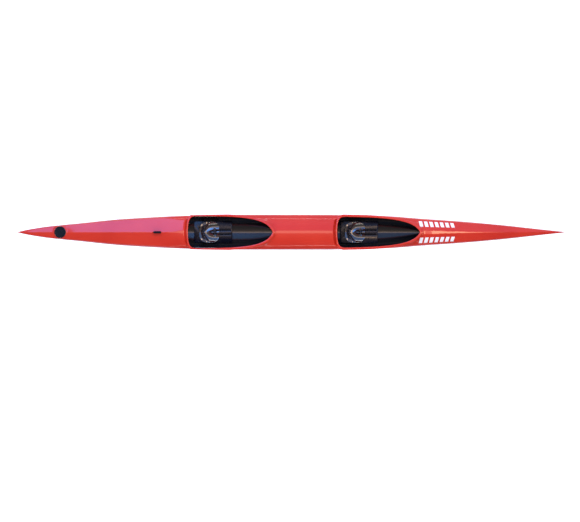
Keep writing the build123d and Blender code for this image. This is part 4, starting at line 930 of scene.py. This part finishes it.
def makeScrewTree():
    tree, start, end = startTree("screwRingTree", [
        ("Count", "NodeSocketInt", 6), ("Reach", "NodeSocketFloat", 0.066), ("Head", "NodeSocketFloat", 0.0026),
        ("Rise", "NodeSocketFloat", 0.0010), ("Material", "NodeSocketMaterial", None)])
    ring = addNode(tree, "GeometryNodeMeshCircle", links={"Vertices": start.outputs["Count"],
                                                          "Radius": start.outputs["Reach"]})
    dome = addNode(tree, "GeometryNodeMeshUVSphere", values={"Segments": 18, "Rings": 10},
                   links={"Radius": start.outputs["Head"]})
    flat = addNode(tree, "ShaderNodeCombineXYZ", values={"X": 1.0, "Y": 1.0, "Z": 0.42})
    low = addNode(tree, "GeometryNodeTransform", links={"Geometry": dome.outputs[0], "Scale": flat.outputs[0]})
    bar = addNode(tree, "GeometryNodeMeshCube", values={"Size": (0.0036, 0.0008, 0.0012)})
    lift = addNode(tree, "ShaderNodeCombineXYZ", links={"Z": start.outputs["Rise"]})
    slot = addNode(tree, "GeometryNodeTransform", links={"Geometry": bar.outputs[0], "Translation": lift.outputs[0]})
    cut = addNode(tree, "GeometryNodeMeshBoolean", links={"Mesh 1": low.outputs[0], "Mesh 2": slot.outputs[0]},
                  operation="DIFFERENCE")
    spin = addNode(tree, "FunctionNodeRandomValue", values={"Seed": 4}, data_type="FLOAT_VECTOR")
    spin.inputs[0].default_value = (0, 0, 0)
    spin.inputs[1].default_value = (0, 0, 3.14)
    placed = addNode(tree, "GeometryNodeInstanceOnPoints", links={
        "Points": ring.outputs[0], "Instance": cut.outputs[0], "Rotation": spin.outputs[0]})
    closeTree(tree, placed.outputs[0], start, end)
    return tree


def makeHatch():
    form = hatchForm
    ring = lathe("hatchRing", form["ring"], form["steps"], [blackPlastic], True, hatchPlace)
    markSharp(ring, form["sharp"])
    settle(ring, "boat", "black_plastic", "hatch_ring")
    lid = lathe("hatchLid", form["lid"], form["steps"], [blackPlastic], False, hatchPlace)
    markSharp(lid, form["sharp"])
    settle(lid, "stern_hatch", "black_plastic", "hatch_lid")
    for k, turn in enumerate(form["ribTurns"]):
        bar = boxPiece("hatchRib" + str(k), (-form["ribReach"], -form["ribWide"] / 2, form["ribLow"]),
                       (form["ribReach"], form["ribWide"] / 2, form["ribHigh"]), blackPlastic, form["ribEdge"],
                       hatchPlace @ Matrix.Rotation(math.radians(turn), 4, "Z"))
        settle(bar, "stern_hatch", "black_plastic")
    turned = hatchPlace @ Matrix.Translation((0, 0, form["screwSeat"])) @ Matrix.Rotation(math.pi / 6, 4, "Z")
    screws = grow("hatchScrewHeads", makeScrewTree(), {"Count": form["screws"], "Reach": form["screwReach"],
                                                       "Head": form["screwHead"]}, plainSteel, place=turned)
    settle(screws, "boat", "steel", "hatch_screws")


# rudder blade

bladeForm = {"x": -2.700, "chord": 0.084, "depth": 0.130, "thick": 0.012, "balance": 0.38, "rake": 0.5,
             "rows": 32, "around": 18, "noseFull": 1.2, "sideFull": 1.5, "sideAt": 0.45, "tail": 0.0004,
             "sharp": math.radians(45),
             "shares": [(0.0, 1.0), (0.25, 0.93), (0.5, 0.78), (0.75, 0.54), (0.93, 0.30), (1.0, 0.12)]}


def makeBlade():
    form = bladeForm
    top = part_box("rudder_blade")[1].z
    share = smoothCurve(form["shares"])
    rows = []
    for k in range(form["rows"] + 1):
        drop = math.sin(math.pi / 2 * k / form["rows"])
        size = share(drop)
        chord = form["chord"] * size
        nose = form["x"] + form["balance"] * form["chord"] - (1 - size) * form["rake"] * form["chord"]
        half = form["thick"] * size / 2
        poles = [(nose, 0), (nose, half * form["noseFull"]),
                 (nose - form["sideAt"] * chord, half * form["sideFull"]), (nose - chord, form["tail"])]
        port = [bezierPoint(poles, j / form["around"]) for j in range(form["around"] + 1)]
        z = top - form["depth"] * drop
        rows.append([(x, y, z) for x, y in port] + [(x, -y, z) for x, y in port[:0:-1]])
    verts = [p for row in rows for p in row]
    wide = len(rows[0])
    faces = [tuple(range(wide)), tuple(len(verts) - 1 - j for j in range(wide))]
    faces += gridFaces(len(rows), wide, True)
    blade = meshPiece("rudderBlade", verts, faces, [rudderBlack])
    facePiece(blade)
    markSharp(blade, form["sharp"])
    settle(blade, "rudder", "rudder_black", "rudder_blade")


# white marks on the foredeck

marks = {"start": 1.505, "pitch": 0.062, "count": 7, "wide": 0.040, "slant": 0.018, "inner": 0.40, "outer": 0.80,
         "lift": 0.0004, "thick": 0.0003, "cells": 7}


def makeMarks():
    # slanted bars laid on the deck, both sides
    form = marks
    cells = form["cells"]
    for side, name in ((1, "port"), (-1, "starboard")):
        verts = []
        faces = []
        for k in range(form["count"]):
            first = len(verts)
            for i in range(cells + 1):
                for j in range(cells + 1):
                    across = j / cells
                    x = form["start"] + k * form["pitch"] + form["wide"] * i / cells + form["slant"] * (1 - across)
                    share = form["inner"] + (form["outer"] - form["inner"]) * across
                    y = share * halfBreadth(x)
                    verts.append((x, side * y, deckHeight(x, y) + form["lift"]))
            for i in range(cells):
                for j in range(cells):
                    a = first + i * (cells + 1) + j
                    faces.append((a, a + cells + 1, a + cells + 2, a + 1))
        piece = meshPiece("foredeckMarks_" + name, verts, faces, [whiteMark], merge=0)
        facePiece(piece, Vector((0, 0, 1)))
        addSkin(piece, form["thick"])
        settle(piece, "boat", "seam_white")


# foot straps

strapForm = {"rear": (0.0, 0.118), "front": (1.715, 0.079), "lean": 0.020, "bow": 0.060, "low": 0.104, "tall": 0.030,
             "thick": 0.0022, "steps": 44, "across": 7, "inset": 0.004, "belly": 0.0010, "tilt": math.radians(20.0)}


def makeStrap(place):
    # flat webbing bowed over the feet, sewn down along both edges
    form = strapForm
    footX, half = form[place]
    reach = half - form["inset"]
    face = footX + form["lean"]
    radius = (reach ** 2 + form["bow"] ** 2) / (2 * form["bow"])
    middle = face - form["bow"] + radius
    sweep = math.asin(min(reach / radius, 1.0))
    if form["bow"] > reach:
        sweep = math.pi - sweep
    verts = []
    for i in range(form["steps"] + 1):
        turn = -sweep + 2 * sweep * i / form["steps"]
        for j in range(form["across"] + 1):
            v = j / form["across"]
            r = radius + form["belly"] * math.sin(math.pi * v)
            lean = math.tan(form["tilt"]) * (form["tall"] * v) * abs(math.sin(turn)) ** 6
            verts.append((middle - r * math.cos(turn) + lean, r * math.sin(turn), form["low"] + form["tall"] * v))
    faces = gridFaces(form["steps"] + 1, form["across"] + 1)
    strap = meshPiece("foot_strap_" + place + "_webbing", verts, faces, [blackWebbing], merge=0)
    addSkin(strap, form["thick"], 0.0)
    settle(strap, place + "_footrest", "webbing", "foot_strap_" + place)


for place in wells:
    makeSeat(place)
    makeStrap(place)
print("seats and foot straps made")
makeHatch()
makeBlade()
makeMarks()
print("hatch, rudder blade and marks made")


# small fittings that keep their shape and get softened edges

softened = {"number_plate_holder": (0.0012, blackPlastic, "boat", "black_plastic"),
            "seat_platform_rear": (0.0016, navyLaminate, "boat", "black_laminate"),
            "seat_platform_front": (0.0016, navyLaminate, "boat", "black_laminate")}


def soften(name, width, material, body, slot):
    mesh = nodes[name].data.copy()
    mesh.materials.clear()
    mesh.materials.append(material)
    work = bmesh.new()
    work.from_mesh(mesh)
    bmesh.ops.remove_doubles(work, verts=work.verts, dist=1e-6)
    bmesh.ops.dissolve_limit(work, angle_limit=math.radians(2), verts=work.verts, edges=work.edges)
    work.to_mesh(mesh)
    work.free()
    piece = addObject(name + "_soft", mesh)
    edge = piece.modifiers.new("edge", "BEVEL")
    edge.width = width
    edge.segments = 3
    edge.limit_method = "ANGLE"
    edge.angle_limit = math.radians(50)
    settle(piece, body, slot, name)


for name, (width, material, body, slot) in softened.items():
    soften(name, width, material, body, slot)
print("fittings softened")


nodeFinishes = [
    (innerBoard, "bulkhead_aft bulkhead_mid bulkhead_fore rudder_shelf"),
    (foamWhite, "stern_foam mid_foam bow_foam"),
    (blackPlastic, "seat_sliders_rear seat_sliders_front foot_knobs_rear foot_knobs_front tiller_block tiller_washer "
                   "line_guides rudder_bushes"),
    (blackedSteel, "seat_bolts_rear seat_bolts_front"),
    (brushedAlloy, "foot_rails_rear foot_rails_front foot_carriage_rear foot_carriage_front tiller_bar rudder_tube "
                   "rudder_yoke"),
    (navyLaminate, "footboard_rear footboard_front"),
    (plainSteel, "tiller_pivot tiller_pin_nuts line_ends_port line_ends_starboard rudder_stock yoke_screw "
                 "yoke_pin_nuts number_plate_screws"),
    (softRubber, "tiller_grip hatch_seal"),
    (braidedLine, "steering_line_port steering_line_starboard"),
]
for material, names in nodeFinishes:
    for name in names.split():
        mesh = nodes[name].data
        mesh.materials.clear()
        mesh.materials.append(material)
print("node finishes set")
